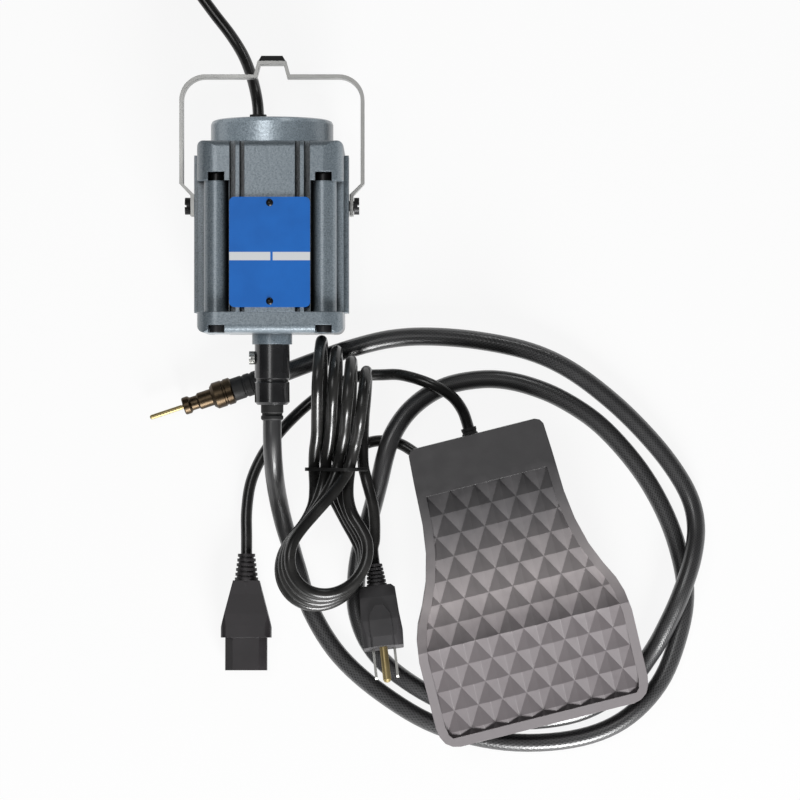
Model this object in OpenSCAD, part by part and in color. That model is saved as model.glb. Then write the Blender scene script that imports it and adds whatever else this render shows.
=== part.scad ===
// Hang-up rotary tool motor with a flexible drive shaft and an electronic foot pedal.
// The whole set lies on a table: Z is up, the motor rests on its back with its top towards +Y.

/* [Motor] */
// Width of the motor body across its flat sides
motor_width = 85; // [74:1:100]
// Length of the motor body
motor_length = 111; // [100:1:130]
// Diameter of the round top cap
cap_diameter = 72; // [66:1:78]
// Height of the top cap
cap_height = 14.3; // [13:0.1:20]
// Depth of the field laminations, from the housing's bore to the armature
field_depth = 12.7; // [12:0.1:15]
// Diameter of the armature shaft
shaft_diameter = 8; // [7:0.5:9]

/* [Nameplate] */
// Width of the plate on the motor front
plate_width = 46.6; // [36:0.2:48]
// Length of the plate on the motor front
plate_length = 63.6; // [50:0.2:70]

/* [Bail] */
// Width of the hanging bail between its two sides
bail_width = 106.4; // [104:0.2:116]
// Height of the bail above its pivots
bail_height = 76; // [70:1:90]
// Width of the steel strip
bail_strip = 12; // [8:0.5:16]
// Thickness of the steel strip
bail_thickness = 2.2; // [1.6:0.1:2.6]

/* [Flexible shaft] */
// Outer diameter of the sheath
sheath_diameter = 11; // [10:0.1:11.2]
// Diameter of the wire core
core_diameter = 5; // [4:0.1:5.6]
// Diameter of the connector below the motor
connector_diameter = 20.6; // [19:0.2:23]
// Length of the connector below the motor
connector_length = 35.6; // [34:0.2:36]
// Diameter of the collar at the handpiece end
collar_diameter = 16; // [14.4:0.2:16]
// Diameter of the turning drive tip
tip_diameter = 2.8; // [2.4:0.1:3]
// Length of the drive tip outside its nose
tip_reach = 21; // [15:0.5:26]

/* [Pedal] */
// Length of the tread
tread_length = 177; // [170:1:184]
// Width of the tread at its wide end
tread_width = 128.4; // [124:0.2:134]
// Height of the tread at its rear edge
rear_height = 46; // [44:1:52]
// Height of the tread at its crease
crease_height = 56; // [54:1:62]
// Height of the tread at its front edge
front_height = 38; // [37:1:42]
// Width of one diamond of the tread pattern
diamond_width = 14.6; // [12:0.2:18]
// Depth of the tread pattern
diamond_depth = 2.7; // [1.5:0.1:2.8]
// Angle that the tread is pressed through
press_angle = 4; // [3:0.5:4]

/* [Leads] */
// Diameter of the three mains leads
lead_diameter = 6.8; // [6.2:0.1:7]
// Number of loops in the tied hank
hank_loops = 4; // [3:1:4]
// Number of turns in the coil of motor lead
coil_turns = 5; // [4:1:6]

/* [Clearances] */
// Running clearance of a shaft in its bearing, on the radius
running_gap = 0.05; // [0.02:0.01:0.1]
// Clearance of a part that sits in a pocket, on the radius
seat_gap = 0.05; // [0.02:0.01:0.1]
// Clearance between moving parts that do not touch
free_gap = 0.4; // [0.3:0.05:0.6]

/* [Hidden] */
$fn = 48;

// Finishes for the preview
enamel = [0.46, 0.51, 0.54];
steel = [0.72, 0.72, 0.74];
black = [0.10, 0.10, 0.11];
brass = [0.75, 0.60, 0.30];
plate_blue = [0.14, 0.40, 0.74];
tread_grey = [0.36, 0.33, 0.34];

// Motor: its own axis is Z with the front at -Y, then it is laid on its back
half = motor_width / 2;
motor_at = [-83, 39, half];
rib_out = half + 2.7;
bell_h = 12;
ledge_z = 88;
pocket_h = 4.9;
bore_r = half - 9;
armature_r = bore_r - field_depth;
bolt_at = half - 11.5;
bolt_r = 2.2;
bolt_head_r = 4.2;
shaft_r = shaft_diameter / 2;
stack_lo = 32;
stack_hi = motor_length - 39;
bearing_r = 11;
bearing_h = 7;
cap_top = motor_length + cap_height;
lead_r = lead_diameter / 2;
lead_hole = [-9, 19];
pivot_z = motor_length - 36;
plate_z = 46.4;

module lay_motor() {
  translate(motor_at) rotate([-90, 0, 0]) children();
}

// Full outline of the castings, a square with round corners
module full_section() {
  r = 12;
  square([2 * (half - r), 2 * half], center = true);
  square([2 * half, 2 * (half - r)], center = true);
  for (sx = [-1, 1], sy = [-1, 1]) {
    translate([sx * (half - r), sy * (half - r)]) circle(r);
  }
}

// Outline between the ends, with a round bolt column in each corner
module column_section() {
  square([47, 2 * half], center = true);
  square([2 * half, 47], center = true);
  circle(half - 1.5);
  for (sx = [-1, 1], sy = [-1, 1]) translate([sx * bolt_at, sy * bolt_at]) circle(7.5);
}

// Two cooling slots on each side of the four flat panels
module slot_section() {
  for (a = [0, 90, 180, 270], s = [-1, 1]) rotate(a) {
    translate([s * 16 - 1.4, half - 6]) square([2.8, 8]);
    translate([s * 21.5 - 1.7, half - 6]) square([3.4, 8]);
  }
}

// Room for a bolt head, open at the front and the rear of the casting
module bolt_pocket(h) {
  r = bolt_head_r + 0.6;
  for (sx = [-1, 1], sy = [-1, 1]) translate([sx * bolt_at, sy * bolt_at, 0]) {
    cylinder(r = r, h = h);
    translate([-r, sy * 10 - 10, 0]) cube([2 * r, 20, h]);
  }
}

// Side outline of a casting, with its lower or upper edge rounded over, extruded across it
module edge_outline(z0, z1, low, high) {
  lower = [for (a = [90 : -15 : 0]) [half - low * (1 - cos(a)), z0 + low * (1 - sin(a))]];
  upper = [for (a = [0 : 15 : 90]) [half - high * (1 - cos(a)), z1 - high * (1 - sin(a))]];
  side = concat(low > 0 ? lower : [[half, z0]], high > 0 ? upper : [[half, z1]]);
  rotate([90, 0, 0]) linear_extrude(4 * half, center = true) {
    polygon(concat(side, [for (i = [len(side) - 1 : -1 : 0]) [-side[i][0], side[i][1]]]));
  }
}

// Block of a casting, rounded over on all four sides
module rounded_end(z0, z1, low, high) {
  intersection() {
    translate([0, 0, z0]) linear_extrude(z1 - z0) full_section();
    edge_outline(z0, z1, low, high);
    rotate(90) edge_outline(z0, z1, low, high);
  }
}

module bolt_holes(z0, z1) {
  for (sx = [-1, 1], sy = [-1, 1]) {
    translate([sx * bolt_at, sy * bolt_at, z0]) cylinder(r = bolt_r + seat_gap, h = z1 - z0);
  }
}

module motor_housing() {
  color(enamel) lay_motor() difference() {
    union() {
      translate([0, 0, bell_h]) linear_extrude(ledge_z - bell_h) column_section();
      rounded_end(ledge_z, motor_length, 0, 3.6);
      for (s = [-1, 1]) {
        translate([s * rib_out / 2, 0, (motor_length - 7 + bell_h) / 2]) {
          cube([rib_out, 25, motor_length - 7 - bell_h], center = true);
        }
      }
    }
    translate([0, 0, bell_h - 1]) cylinder(r = bore_r, h = motor_length);
    translate([0, 0, bell_h - 1]) linear_extrude(motor_length) slot_section();
    translate([0, 0, ledge_z]) bolt_pocket(pocket_h);
    bolt_holes(bell_h - 1, ledge_z + 1);
    for (s = [-1, 1]) translate([s * (rib_out - 7), 0, pivot_z]) rotate([0, s * 90, 0]) {
      cylinder(r = 2.2 + seat_gap, h = 10);
    }
    for (z = [-1, 1]) translate([0, 1 - half + 2, plate_z + z * (plate_length / 2 - 3.4)]) {
      rotate([90, 0, 0]) cylinder(r = 1 + seat_gap, h = 5);
    }
  }
}

// Lower end casting with the nose that takes the flexible shaft
module lower_bell() {
  color(enamel) lay_motor() difference() {
    union() {
      rounded_end(0, bell_h, 4.6, 0);
      translate([0, 0, -6.3]) cylinder(r = 11.8, h = 7);
      translate([0, 0, bell_h]) cylinder(r = bore_r - seat_gap, h = 2);
    }
    translate([0, 0, -7]) cylinder(r = 8 + seat_gap, h = 8);
    cylinder(r = shaft_r + 1, h = 5);
    translate([0, 0, 3]) cylinder(r = bearing_r + seat_gap, h = 20);
    translate([0, 0, bell_h - 1]) cylinder(r = bore_r - 2.5, h = 5);
    translate([0, 0, -1]) bolt_pocket(5.5);
    bolt_holes(0, bell_h + 1);
  }
}

// Upper end casting, a round cap that holds the upper bearing
module top_cap() {
  r = cap_diameter / 2;
  color(enamel) lay_motor() difference() {
    union() {
      translate([0, 0, motor_length]) rotate_extrude($fn = 96) {
        polygon([[0, 0], [r, 0], [r, cap_height - 2.6], [r - 0.9, cap_height - 0.8],
          [r - 2.8, cap_height], [0, cap_height]]);
      }
      translate([0, 0, cap_top - 1]) cylinder(r = 17.7, h = 2.2);
    }
    difference() {
      translate([0, 0, motor_length - 1]) cylinder(r = min(r - 5, bore_r), h = cap_height - 2.5);
      translate([0, 0, motor_length - 2]) cylinder(r = bearing_r + 3, h = cap_height);
    }
    translate([0, 0, motor_length - 1]) cylinder(r = bearing_r + seat_gap, h = bearing_h + 2);
    translate([0, 0, motor_length - 1]) cylinder(r = shaft_r + 1, h = bearing_h + 4.5);
    translate([lead_hole[0], lead_hole[1], motor_length]) cylinder(r = 5 + seat_gap, h = 30);
    translate([lead_hole[0], lead_hole[1], cap_top]) cylinder(r = 6.4 + seat_gap, h = 30);
  }
}

module through_bolts() {
  color(steel) lay_motor() for (sx = [-1, 1], sy = [-1, 1]) {
    translate([sx * bolt_at, sy * bolt_at, 0]) difference() {
      union() {
        translate([0, 0, 0.3]) cylinder(r = bolt_head_r, h = 4.2);
        translate([0, 0, 4]) cylinder(r = bolt_r, h = ledge_z - 3);
        translate([0, 0, ledge_z]) cylinder(r = bolt_head_r, h = 4.2);
      }
      translate([-6, -0.5, -0.6]) cube([12, 1, 2]);
      translate([-6, -0.5, ledge_z + 3]) cube([12, 1, 2]);
    }
  }
}

module nameplate() {
  r = 3;
  color(plate_blue) lay_motor() translate([0, -half, plate_z]) rotate([90, 0, 0]) {
    linear_extrude(0.8) difference() {
      union() {
        square([plate_width - 2 * r, plate_length], center = true);
        square([plate_width, plate_length - 2 * r], center = true);
        for (sx = [-1, 1], sy = [-1, 1]) {
          translate([sx * (plate_width / 2 - r), sy * (plate_length / 2 - r)]) circle(r);
        }
      }
      for (s = [-1, 1]) translate([0, s * (plate_length / 2 - 3.4)]) circle(1 + seat_gap);
    }
  }
}

module nameplate_rivets() {
  color(steel) lay_motor() for (s = [-1, 1]) {
    translate([0, -half, plate_z + s * (plate_length / 2 - 3.4)]) rotate([90, 0, 0]) {
      translate([0, 0, -1.9]) cylinder(r = 1, h = 2.8);
      translate([0, 0, 0.8]) intersection() {
        cylinder(r = 2.1, h = 0.9);
        translate([0, 0, -2]) sphere(2.9);
      }
    }
  }
}

// Laminated stator with a window each side for the coils
module coil_sector(r0, r1, w) {
  intersection() {
    difference() {
      circle(r1);
      circle(r0);
    }
    square([3 * r1, w], center = true);
  }
}

module field_stack() {
  color(steel) lay_motor() translate([0, 0, stack_lo]) linear_extrude(stack_hi - stack_lo) {
    difference() {
      circle(bore_r - seat_gap);
      circle(armature_r + 0.7);
      coil_sector(bore_r - 10, bore_r - 3.5, 26);
    }
  }
}

module field_coils() {
  color([0.6, 0.3, 0.15]) lay_motor() translate([0, 0, stack_lo - 5]) {
    linear_extrude(stack_hi - stack_lo + 10) {
      coil_sector(bore_r - 10 + seat_gap, bore_r - 3.5 - seat_gap, 26 - 2 * seat_gap);
    }
  }
}

module armature_shaft() {
  color(steel) lay_motor() {
    translate([0, 0, -4]) cylinder(r = shaft_r, h = motor_length + bearing_h + 6);
    translate([0, 0, -14]) cylinder(r = 3, h = 11);
  }
}

module armature_core() {
  color([0.5, 0.5, 0.52]) lay_motor() translate([0, 0, stack_lo]) {
    linear_extrude(stack_hi - stack_lo) difference() {
      circle(armature_r);
      circle(shaft_r + 0.01);
      for (a = [0 : 30 : 330]) rotate(a) {
        translate([armature_r - 7, -1.6]) square([5.5, 3.2]);
        translate([armature_r - 3, -0.7]) square([6, 1.4]);
      }
    }
  }
}

module commutator() {
  color([0.72, 0.45, 0.28]) lay_motor() translate([0, 0, stack_hi + 12]) {
    linear_extrude(14) difference() {
      circle(11);
      circle(shaft_r + 0.01);
      for (a = [0 : 15 : 345]) rotate(a) translate([10.2, -0.25]) square([2, 0.5]);
    }
  }
}

module cooling_fan() {
  color(black) lay_motor() translate([0, 0, bell_h + 4]) difference() {
    union() {
      cylinder(r = shaft_r + 4, h = 11);
      cylinder(r = bore_r - 4, h = 1.6);
      for (a = [0 : 40 : 320]) rotate(a) translate([shaft_r + 3, -0.8, 0]) {
        cube([bore_r - 9 - shaft_r, 1.6, 9]);
      }
    }
    translate([0, 0, -1]) cylinder(r = shaft_r + 0.01, h = 20);
  }
}

module bearing_ring() {
  difference() {
    cylinder(r = bearing_r, h = bearing_h);
    translate([0, 0, -1]) cylinder(r = shaft_r + running_gap, h = bearing_h + 2);
    for (z = [-1, bearing_h - 0.6]) translate([0, 0, z]) difference() {
      cylinder(r = bearing_r - 2, h = 1.6);
      cylinder(r = shaft_r + 2, h = 1.6);
    }
  }
}

module lower_bearing() {
  color(steel) lay_motor() translate([0, 0, 3]) bearing_ring();
}

module upper_bearing() {
  color(steel) lay_motor() translate([0, 0, motor_length + 1]) bearing_ring();
}

// Brass boxes on the housing wall, each with a sprung carbon brush on the commutator
module brush_holders() {
  color(brass) lay_motor() for (s = [0, 180]) rotate(s) {
    translate([13.5, -4.5, stack_hi + 14.5]) difference() {
      cube([bore_r - 14, 9, 9]);
      translate([-1, 1.5, 1.5]) cube([bore_r - 15, 6, 6]);
    }
  }
}

module carbon_brushes() {
  color(black) lay_motor() for (s = [0, 180]) rotate(s) {
    difference() {
      translate([10.4, -2.95, stack_hi + 16.05]) cube([bore_r - 14, 5.9, 5.9]);
      translate([0, 0, stack_hi + 10]) cylinder(r = 11 + running_gap, h = 20);
    }
  }
}

// Hanging bail, a bent steel strip that swings on two side screws
bail_r = 15;
leg_x = rib_out + free_gap;
module bail_outline() {
  w = bail_width / 2 + bail_thickness / 2;
  t = bail_thickness;
  h = bail_height + t / 2;
  z0 = 13;
  difference() {
    union() {
      translate([-w, z0]) square([2 * w, h - z0 - bail_r]);
      translate([bail_r - w, z0]) square([2 * (w - bail_r), h - z0]);
      for (s = [-1, 1]) translate([s * (w - bail_r), h - bail_r]) circle(bail_r);
    }
    translate([t - w, z0 - 1]) square([2 * (w - t), h - z0 - bail_r + 1]);
    translate([bail_r - w, z0 - 1]) square([2 * (w - bail_r), h - z0 - t + 1]);
    for (s = [-1, 1]) translate([s * (w - bail_r), h - bail_r]) circle(bail_r - t);
    translate([-9.6, h - t - 1]) square([19.2, t + 2]);
  }
  for (s = [-1, 1]) sided(s) {
    polygon([[w - t, z0], [w, z0], [w, z0 + 0.01], [leg_x + t, 6], [leg_x, 6], [leg_x, 6.6]]);
    translate([leg_x, -bail_strip / 2]) square([t, bail_strip / 2 + 6]);
    polygon([[9, h - t], [12, h - t], [12, h], [10.6, h], [8.4, h + 8], [0, h + 8], [0, h + 8 - t],
      [6.9, h + 8 - t]]);
  }
}

module sided(s) {
  if (s > 0) children();
  else mirror([1, 0]) children();
}

module bail() {
  color(steel) lay_motor() translate([0, 0, pivot_z]) difference() {
    rotate([90, 0, 0]) linear_extrude(bail_strip, center = true) bail_outline();
    rotate([0, 90, 0]) cylinder(r = 3 + running_gap, h = 2 * bail_width, center = true);
  }
}

module hanger_pad() {
  color(black) lay_motor() {
    translate([0, 0, pivot_z + bail_height + bail_thickness / 2 + 8]) rotate([90, 0, 0]) {
      linear_extrude(bail_strip - 2, center = true) {
        polygon([[-8, 0], [8, 0], [6.2, 3], [-6.2, 3]]);
      }
    }
  }
}

module bail_screws() {
  t = bail_thickness;
  color(black) lay_motor() for (a = [0, 180]) translate([0, 0, pivot_z]) rotate(a) {
    rotate([0, 90, 0]) difference() {
      union() {
        translate([0, 0, rib_out - 6]) cylinder(r = 2.2, h = 7);
        translate([0, 0, rib_out]) cylinder(r = 3, h = t + 2 * free_gap);
        translate([0, 0, leg_x + t + free_gap]) cylinder(r = 5, h = 3);
      }
      translate([-0.7, -6, leg_x + t + free_gap + 2]) cube([1.4, 12, 2]);
    }
  }
}

module lead_bushing() {
  color(black) lay_motor() translate([lead_hole[0], lead_hole[1], 0]) difference() {
    union() {
      translate([0, 0, cap_top - 3]) cylinder(r = 5, h = 4);
      translate([0, 0, cap_top]) cylinder(r = 6.4, h = 1.6);
      translate([0, 0, cap_top + 1]) cylinder(r = 5, h = 4);
    }
    translate([0, 0, cap_top - 5]) cylinder(r = lead_r + seat_gap, h = 20);
  }
}

// Connector that clamps the shaft to the motor nose
con_lo = -6.3 - connector_length;
module sheath_connector() {
  r = connector_diameter / 2;
  color(black) lay_motor() difference() {
    union() {
      translate([0, 0, con_lo]) rotate_extrude() {
        polygon([[0, 0], [r - 1.6, 0], [r, 1.6], [r, 13], [r - 0.7, 13.7], [r - 0.7, 15],
          [r, 15.7], [r, connector_length], [0, connector_length]]);
      }
      translate([0, 0, -6.5]) cylinder(r = 8, h = 7);
    }
    translate([0, 0, con_lo - 1]) cylinder(r = sheath_diameter / 2 + seat_gap, h = 5);
    translate([0, 0, con_lo]) cylinder(r = 5.2, h = 60);
    translate([0, 0, -14.2]) rotate([0, -90, 0]) cylinder(r = 2 + seat_gap, h = 20);
  }
}

module connector_screw() {
  r = connector_diameter / 2;
  color(steel) lay_motor() translate([0, 0, -14.2]) rotate([0, -90, 0]) {
    translate([0, 0, 5.5]) cylinder(r = 2, h = r - 4);
    translate([0, 0, r]) difference() {
      cylinder(r = 3.9, h = 3.2);
      for (a = [0 : 24 : 336]) rotate(a) translate([3.9, 0, -1]) cylinder(r = 0.35, h = 6, $fn = 16);
      translate([-0.6, -5, 2.2]) cube([1.2, 10, 2]);
    }
  }
}

module motor_ferrule() {
  color(black) lay_motor() translate([0, 0, con_lo - 9]) difference() {
    rotate_extrude() {
      polygon([[0, 0], [5.9, 0], [6.6, 0.8], [6.6, 2.4], [6, 3], [6, 4], [6.6, 4.6], [6.6, 9], [0, 9]]);
    }
    translate([0, 0, -1]) cylinder(r = sheath_diameter / 2 + seat_gap, h = 12);
  }
}

// Coupling that joins the armature shaft to the wire core
module drive_coupling() {
  color(brass) lay_motor() translate([0, 0, -30]) difference() {
    cylinder(r = 4.6, h = 25);
    translate([0, 0, 15]) cylinder(r = 3.01, h = 20);
    translate([0, 0, -1]) cylinder(r = core_diameter / 2 + free_gap, h = 9);
  }
}

// Smooth route through hand-chosen points, k samples to each span
function spline_at(a, b, c, d, u) =
  0.5 * (2 * b + (c - a) * u + (2 * a - 5 * b + 4 * c - d) * u * u
    + (3 * b - a - 3 * c + d) * u * u * u);
function smooth(p, k) = let (n = len(p)) concat(
  [for (i = [0 : n - 2], j = [0 : k - 1]) let (
    a = i > 0 ? p[i - 1] : 2 * p[0] - p[1],
    d = i < n - 2 ? p[i + 2] : 2 * p[n - 1] - p[n - 2])
    spline_at(a, p[i], p[i + 1], d, j / k)],
  [p[n - 1]]);
function unit(v) = v / norm(v);
function heading(p, i) = unit(p[min(i + 1, len(p) - 1)] - p[max(i - 1, 0)]);

// Frames carried along the route without twist
function carried(p) = [for (
  i = 0,
  n = unit(cross(heading(p, 0), abs(heading(p, 0)[2]) > 0.8 ? [1, 0, 0] : [0, 0, 1]));
  i < len(p);
  i = i + 1,
  n = i < len(p) ? unit(n - (n * heading(p, i)) * heading(p, i)) : n) n];
function ring(c, t, n, r, k) = let (b = cross(t, n))
  [for (j = [0 : k - 1]) c + r * (cos(360 * j / k) * n + sin(360 * j / k) * b)];

// Round tube along a route, drawn solid or with a bore
module tube(p, r, k = 8, bore = 0) {
  n = carried(p);
  m = len(p);
  outer = [for (i = [0 : m - 1]) each ring(p[i], heading(p, i), n[i], r, k)];
  inner = bore > 0 ? [for (i = [0 : m - 1]) each ring(p[i], heading(p, i), n[i], bore, k)] : [];
  o = m * k;
  skin = [for (i = [0 : m - 2], j = [0 : k - 1])
    [i * k + j, i * k + (j + 1) % k, (i + 1) * k + (j + 1) % k, (i + 1) * k + j]];
  lining = [for (i = [0 : m - 2], j = [0 : k - 1])
    [o + i * k + j, o + (i + 1) * k + j, o + (i + 1) * k + (j + 1) % k, o + i * k + (j + 1) % k]];
  ends = bore > 0
    ? [for (j = [0 : k - 1]) each [
        [j, o + j, o + (j + 1) % k, (j + 1) % k],
        [o - k + j, o - k + (j + 1) % k, 2 * o - k + (j + 1) % k, 2 * o - k + j]]]
    : [[for (j = [k - 1 : -1 : 0]) j], [for (j = [0 : k - 1]) o - k + j]];
  polyhedron(concat(outer, inner), concat(skin, bore > 0 ? lining : [], ends), convexity = 10);
}

// Flexible shaft: two loose loops on the table, from the motor round to the handpiece end
sheath_r = sheath_diameter / 2;
tip_turn = 198.5;
tip_at = [-104, 7.2, 8.2];
sheath_route = concat(
  [motor_at + [0, con_lo + 3.5, 0], motor_at + [0, con_lo - 9.5, 0]],
  [[-83, -23.6, 41.3], [-82.7, -33.6, 37.6], [-82.2, -42.5, 31.8], [-81.6, -49.8, 24.1],
   [-80.7, -57.2, 16.3], [-79.1, -66.1, 10.5], [-76.7, -76.1, 6.8], [-73.4, -86.7, 5.6],
   [-69.5, -100, 5.6], [-61, -126, 5.6], [-44, -153, 5.6], [-18, -176, 5.6],
   [15, -195, 5.6], [55, -204.5, 5.6], [95, -203, 5.6], [125, -192, 5.6], [147, -170, 5.6],
   [159, -141, 5.6], [163, -114, 5.6], [158, -87, 5.6], [148, -62, 5.6], [133, -38, 5.6],
   [112, -15, 5.6], [90, 0, 5.6], [70, 8.4, 5.6], [52, 12.2, 5.6], [36, 11.9, 5.9], [20.2, 8.5, 7],
   [6.8, 1.5, 9.2], [-4.4, -8.7, 11.7], [-12.5, -21.4, 13.5], [-16.7, -33.9, 13], [-20, -48, 10.1],
   [-23.6, -62, 7], [-27.7, -77, 5.7], [-32, -92, 5.6], [-34, -108, 5.6],
   [-33.5, -127, 5.6], [-25.5, -147, 5.6], [-8, -165, 5.6], [22, -182, 5.6],
   [60, -191.5, 5.6], [98, -187.5, 5.6], [126, -172, 5.6], [142, -152, 7.6], [152, -133, 13.6],
   [160, -114, 17.6], [166.5, -94, 15.6], [169, -75, 9.6], [165, -57, 5.9], [153, -37, 5.6],
   [136, -17, 5.6], [117, 1, 5.6], [94, 18, 5.6], [70, 29, 5.6], [40, 35.5, 5.6], [10, 38, 5.6],
   [-14, 36.5, 5.6], [-38, 30.6, 5.6], [-60, 22.8, 6.2], [-81, 14.9, 7.9], [-92, 11.2, 8.2],
   tip_at]);

module flex_sheath() {
  color(black) tube(smooth(sheath_route, 1), sheath_r, 10, core_diameter / 2 + 0.6);
}

// Wire core inside the sheath
core_route = concat([motor_at + [0, -29, 0]], sheath_route,
  [tip_at + 10 * [cos(tip_turn), sin(tip_turn), 0]]);
module flex_core() {
  color(steel) tube(core_route, core_diameter / 2, 6);
}

// Handpiece end: its own axis is Z, pointing out of the sheath
module at_tip() {
  translate(tip_at) rotate([0, 0, tip_turn]) rotate([0, 90, 0]) children();
}

nose_r = 5.1;
nose_end = 35;
module tip_ferrule() {
  color(black) at_tip() difference() {
    rotate_extrude() {
      polygon([[0, -13], [6.3, -13], [6.9, -12], [6.9, -9.4], [6.4, -9], [6.4, -8], [6.9, -7.6],
        [6.9, -4.4], [6.4, -4], [6.4, -3], [6.9, -2.6], [6.9, 3.8], [0, 3.8]]);
    }
    translate([0, 0, -14]) cylinder(r = sheath_r + seat_gap, h = 14.2);
    translate([0, 0, -1]) cylinder(r = core_diameter / 2 + 0.6, h = 10);
  }
}

module tip_collar() {
  r = collar_diameter / 2;
  color([0.3, 0.26, 0.2]) at_tip() difference() {
    rotate_extrude() {
      polygon([[0, 3.8], [r - 0.8, 3.8], [r, 4.6], [r, 8], [r - 0.5, 8.4], [r - 0.5, 9.4],
        [r, 9.8], [r, 15], [r - 2, 17], [0, 17]]);
    }
    translate([0, 0, 3]) cylinder(r = core_diameter / 2 + 0.6, h = 9);
    translate([0, 0, 11]) cylinder(r = 4 + seat_gap, h = 10);
  }
}

// Slip-joint nose: a groove and a flange that a handpiece snaps over
module tip_nose() {
  color([0.36, 0.3, 0.22]) at_tip() difference() {
    rotate_extrude() {
      polygon([[0, 12], [4, 12], [4, 17], [nose_r, 17], [nose_r, 25], [nose_r - 1, 26],
        [nose_r - 1, 30], [nose_r, 31], [nose_r + 0.2, 31.4], [nose_r + 0.2, 34.4],
        [nose_r - 0.4, nose_end], [0, nose_end]]);
    }
    translate([0, 0, 11]) cylinder(r = 2.8 + seat_gap, h = 40);
  }
}

module tip_bush() {
  color(brass) at_tip() translate([0, 0, 12.2]) difference() {
    cylinder(r = 2.8, h = nose_end - 12.2);
    translate([0, 0, -1]) cylinder(r = tip_diameter / 2 + running_gap, h = 40);
  }
}

module drive_tip() {
  r = tip_diameter / 2;
  color(brass) at_tip() translate([0, 0, 12.4]) {
    rotate_extrude() {
      polygon([[0, 0], [r, 0], [r, nose_end - 12], [r - 0.3, nose_end - 11.8], [r - 0.3, nose_end - 11.4],
        [r, nose_end - 11.2], [r, nose_end + tip_reach - 13.2], [r - 0.5, nose_end + tip_reach - 12.4],
        [0, nose_end + tip_reach - 12.4]]);
    }
  }
}

// Pedal: its rear edge is at Y = 0, its front towards -Y, then it is turned on the table
pedal_at = [36, -20, 0];
pedal_turn = 14.1;
crease_v = 117;
wide = tread_width / 2;
foot_h = 3;
floor_z = 5.5;
skirt_z = 24;
hinge_v = 14;
hinge_z = 30;
pin_r = 3;
top_wall = 5;
spring_v = 104;
sensor_v = 76;

module lay_pedal() {
  translate(pedal_at) rotate(pedal_turn) children();
}

// Height of the tread surface at a distance from the rear edge
function tread_z(v) = v < crease_v
  ? rear_height + (crease_height - rear_height) * v / crease_v
  : crease_height + (front_height - crease_height) * (v - crease_v) / (tread_length - crease_v);

// Plan of the tread on one side, narrow at the rear and flared at the front
function tread_side(e) = [for (q = [[0.575, 0], [0.61, 1], [0.635, 3.6], [0.65, 20], [0.665, 45],
  [0.70, 62], [0.765, 78], [0.85, 91], [0.93, 101], [0.975, 110], [1, 122], [1, tread_length - 14],
  [0.985, tread_length - 8.5], [0.95, tread_length - 4], [0.89, tread_length - 1.1], [0.82, tread_length]])
  [wide * q[0] - e, min(max(q[1], e), tread_length - e)]];
module tread_plan(e) {
  s = tread_side(e);
  n = len(s);
  polygon(concat([for (q = s) [q[0], -q[1]]], [for (i = [n - 1 : -1 : 0]) [-s[i][0], -s[i][1]]]));
}

// Side view of the tread from its surface down, extruded across the pedal
module tread_profile(drop, low) {
  rotate([90, 0, 90]) linear_extrude(2 * tread_width, center = true) {
    polygon([[1, tread_z(0) - drop], [-crease_v, crease_height - drop],
      [-tread_length - 1, tread_z(tread_length + 1) - drop], [-tread_length - 1, low], [1, low]]);
  }
}

// Diamond field: peaks and valleys alternate along each row, and the crease is on a row
row_h = diamond_width * 0.866;
rows_back = 7;
rows_front = 5;
half_cols = 2 * ceil(wide / diamond_width) + 2;
module diamond_field() {
  nr = rows_back + rows_front + 1;
  nc = 2 * half_cols + 1;
  function at(r, c, low) = let (v = crease_v + (r - rows_back) * row_h)
    [(c - half_cols) * diamond_width / 2, -v,
      tread_z(v) - (low ? 4 : (r + c) % 2 == 0 ? 0.3 : 0.3 + diamond_depth)];
  top = [for (r = [0 : nr - 1], c = [0 : nc - 1]) at(r, c, false)];
  base = [for (r = [0 : nr - 1], c = [0 : nc - 1]) at(r, c, true)];
  o = nr * nc;
  cells = [for (r = [0 : nr - 2], c = [0 : nc - 2]) let (i = r * nc + c) each
    (r + c) % 2 == 0
      ? [[i, i + 1, i + nc], [i + 1, i + nc + 1, i + nc]]
      : [[i, i + 1, i + nc + 1], [i, i + nc + 1, i + nc]]];
  unders = [for (r = [0 : nr - 2], c = [0 : nc - 2]) let (i = o + r * nc + c) each
    [[i, i + nc, i + 1], [i + 1, i + nc, i + nc + 1]]];
  rear = [for (c = [0 : nc - 2]) each [[c, o + c, c + 1], [c + 1, o + c, o + c + 1]]];
  front = [for (c = [0 : nc - 2]) let (i = (nr - 1) * nc + c) each
    [[i, i + 1, o + i], [i + 1, o + i + 1, o + i]]];
  left = [for (r = [0 : nr - 2]) let (i = r * nc) each
    [[i, i + nc, o + i], [i + nc, o + i + nc, o + i]]];
  right = [for (r = [0 : nr - 2]) let (i = r * nc + nc - 1) each
    [[i, o + i, i + nc], [i + nc, o + i, o + i + nc]]];
  polyhedron(concat(top, base), concat(cells, unders, rear, front, left, right), convexity = 10);
}

// Plan of the patterned panel inside the smooth rim
panel_rear = crease_v - rows_back * row_h + 0.4;
panel_front = min(tread_length - 6, crease_v + rows_front * row_h - 0.4);
module panel_plan(e) {
  intersection() {
    tread_plan(5.6 + e);
    translate([-wide, -panel_front + e]) square([2 * wide, panel_front - panel_rear - 2 * e]);
  }
}

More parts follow.
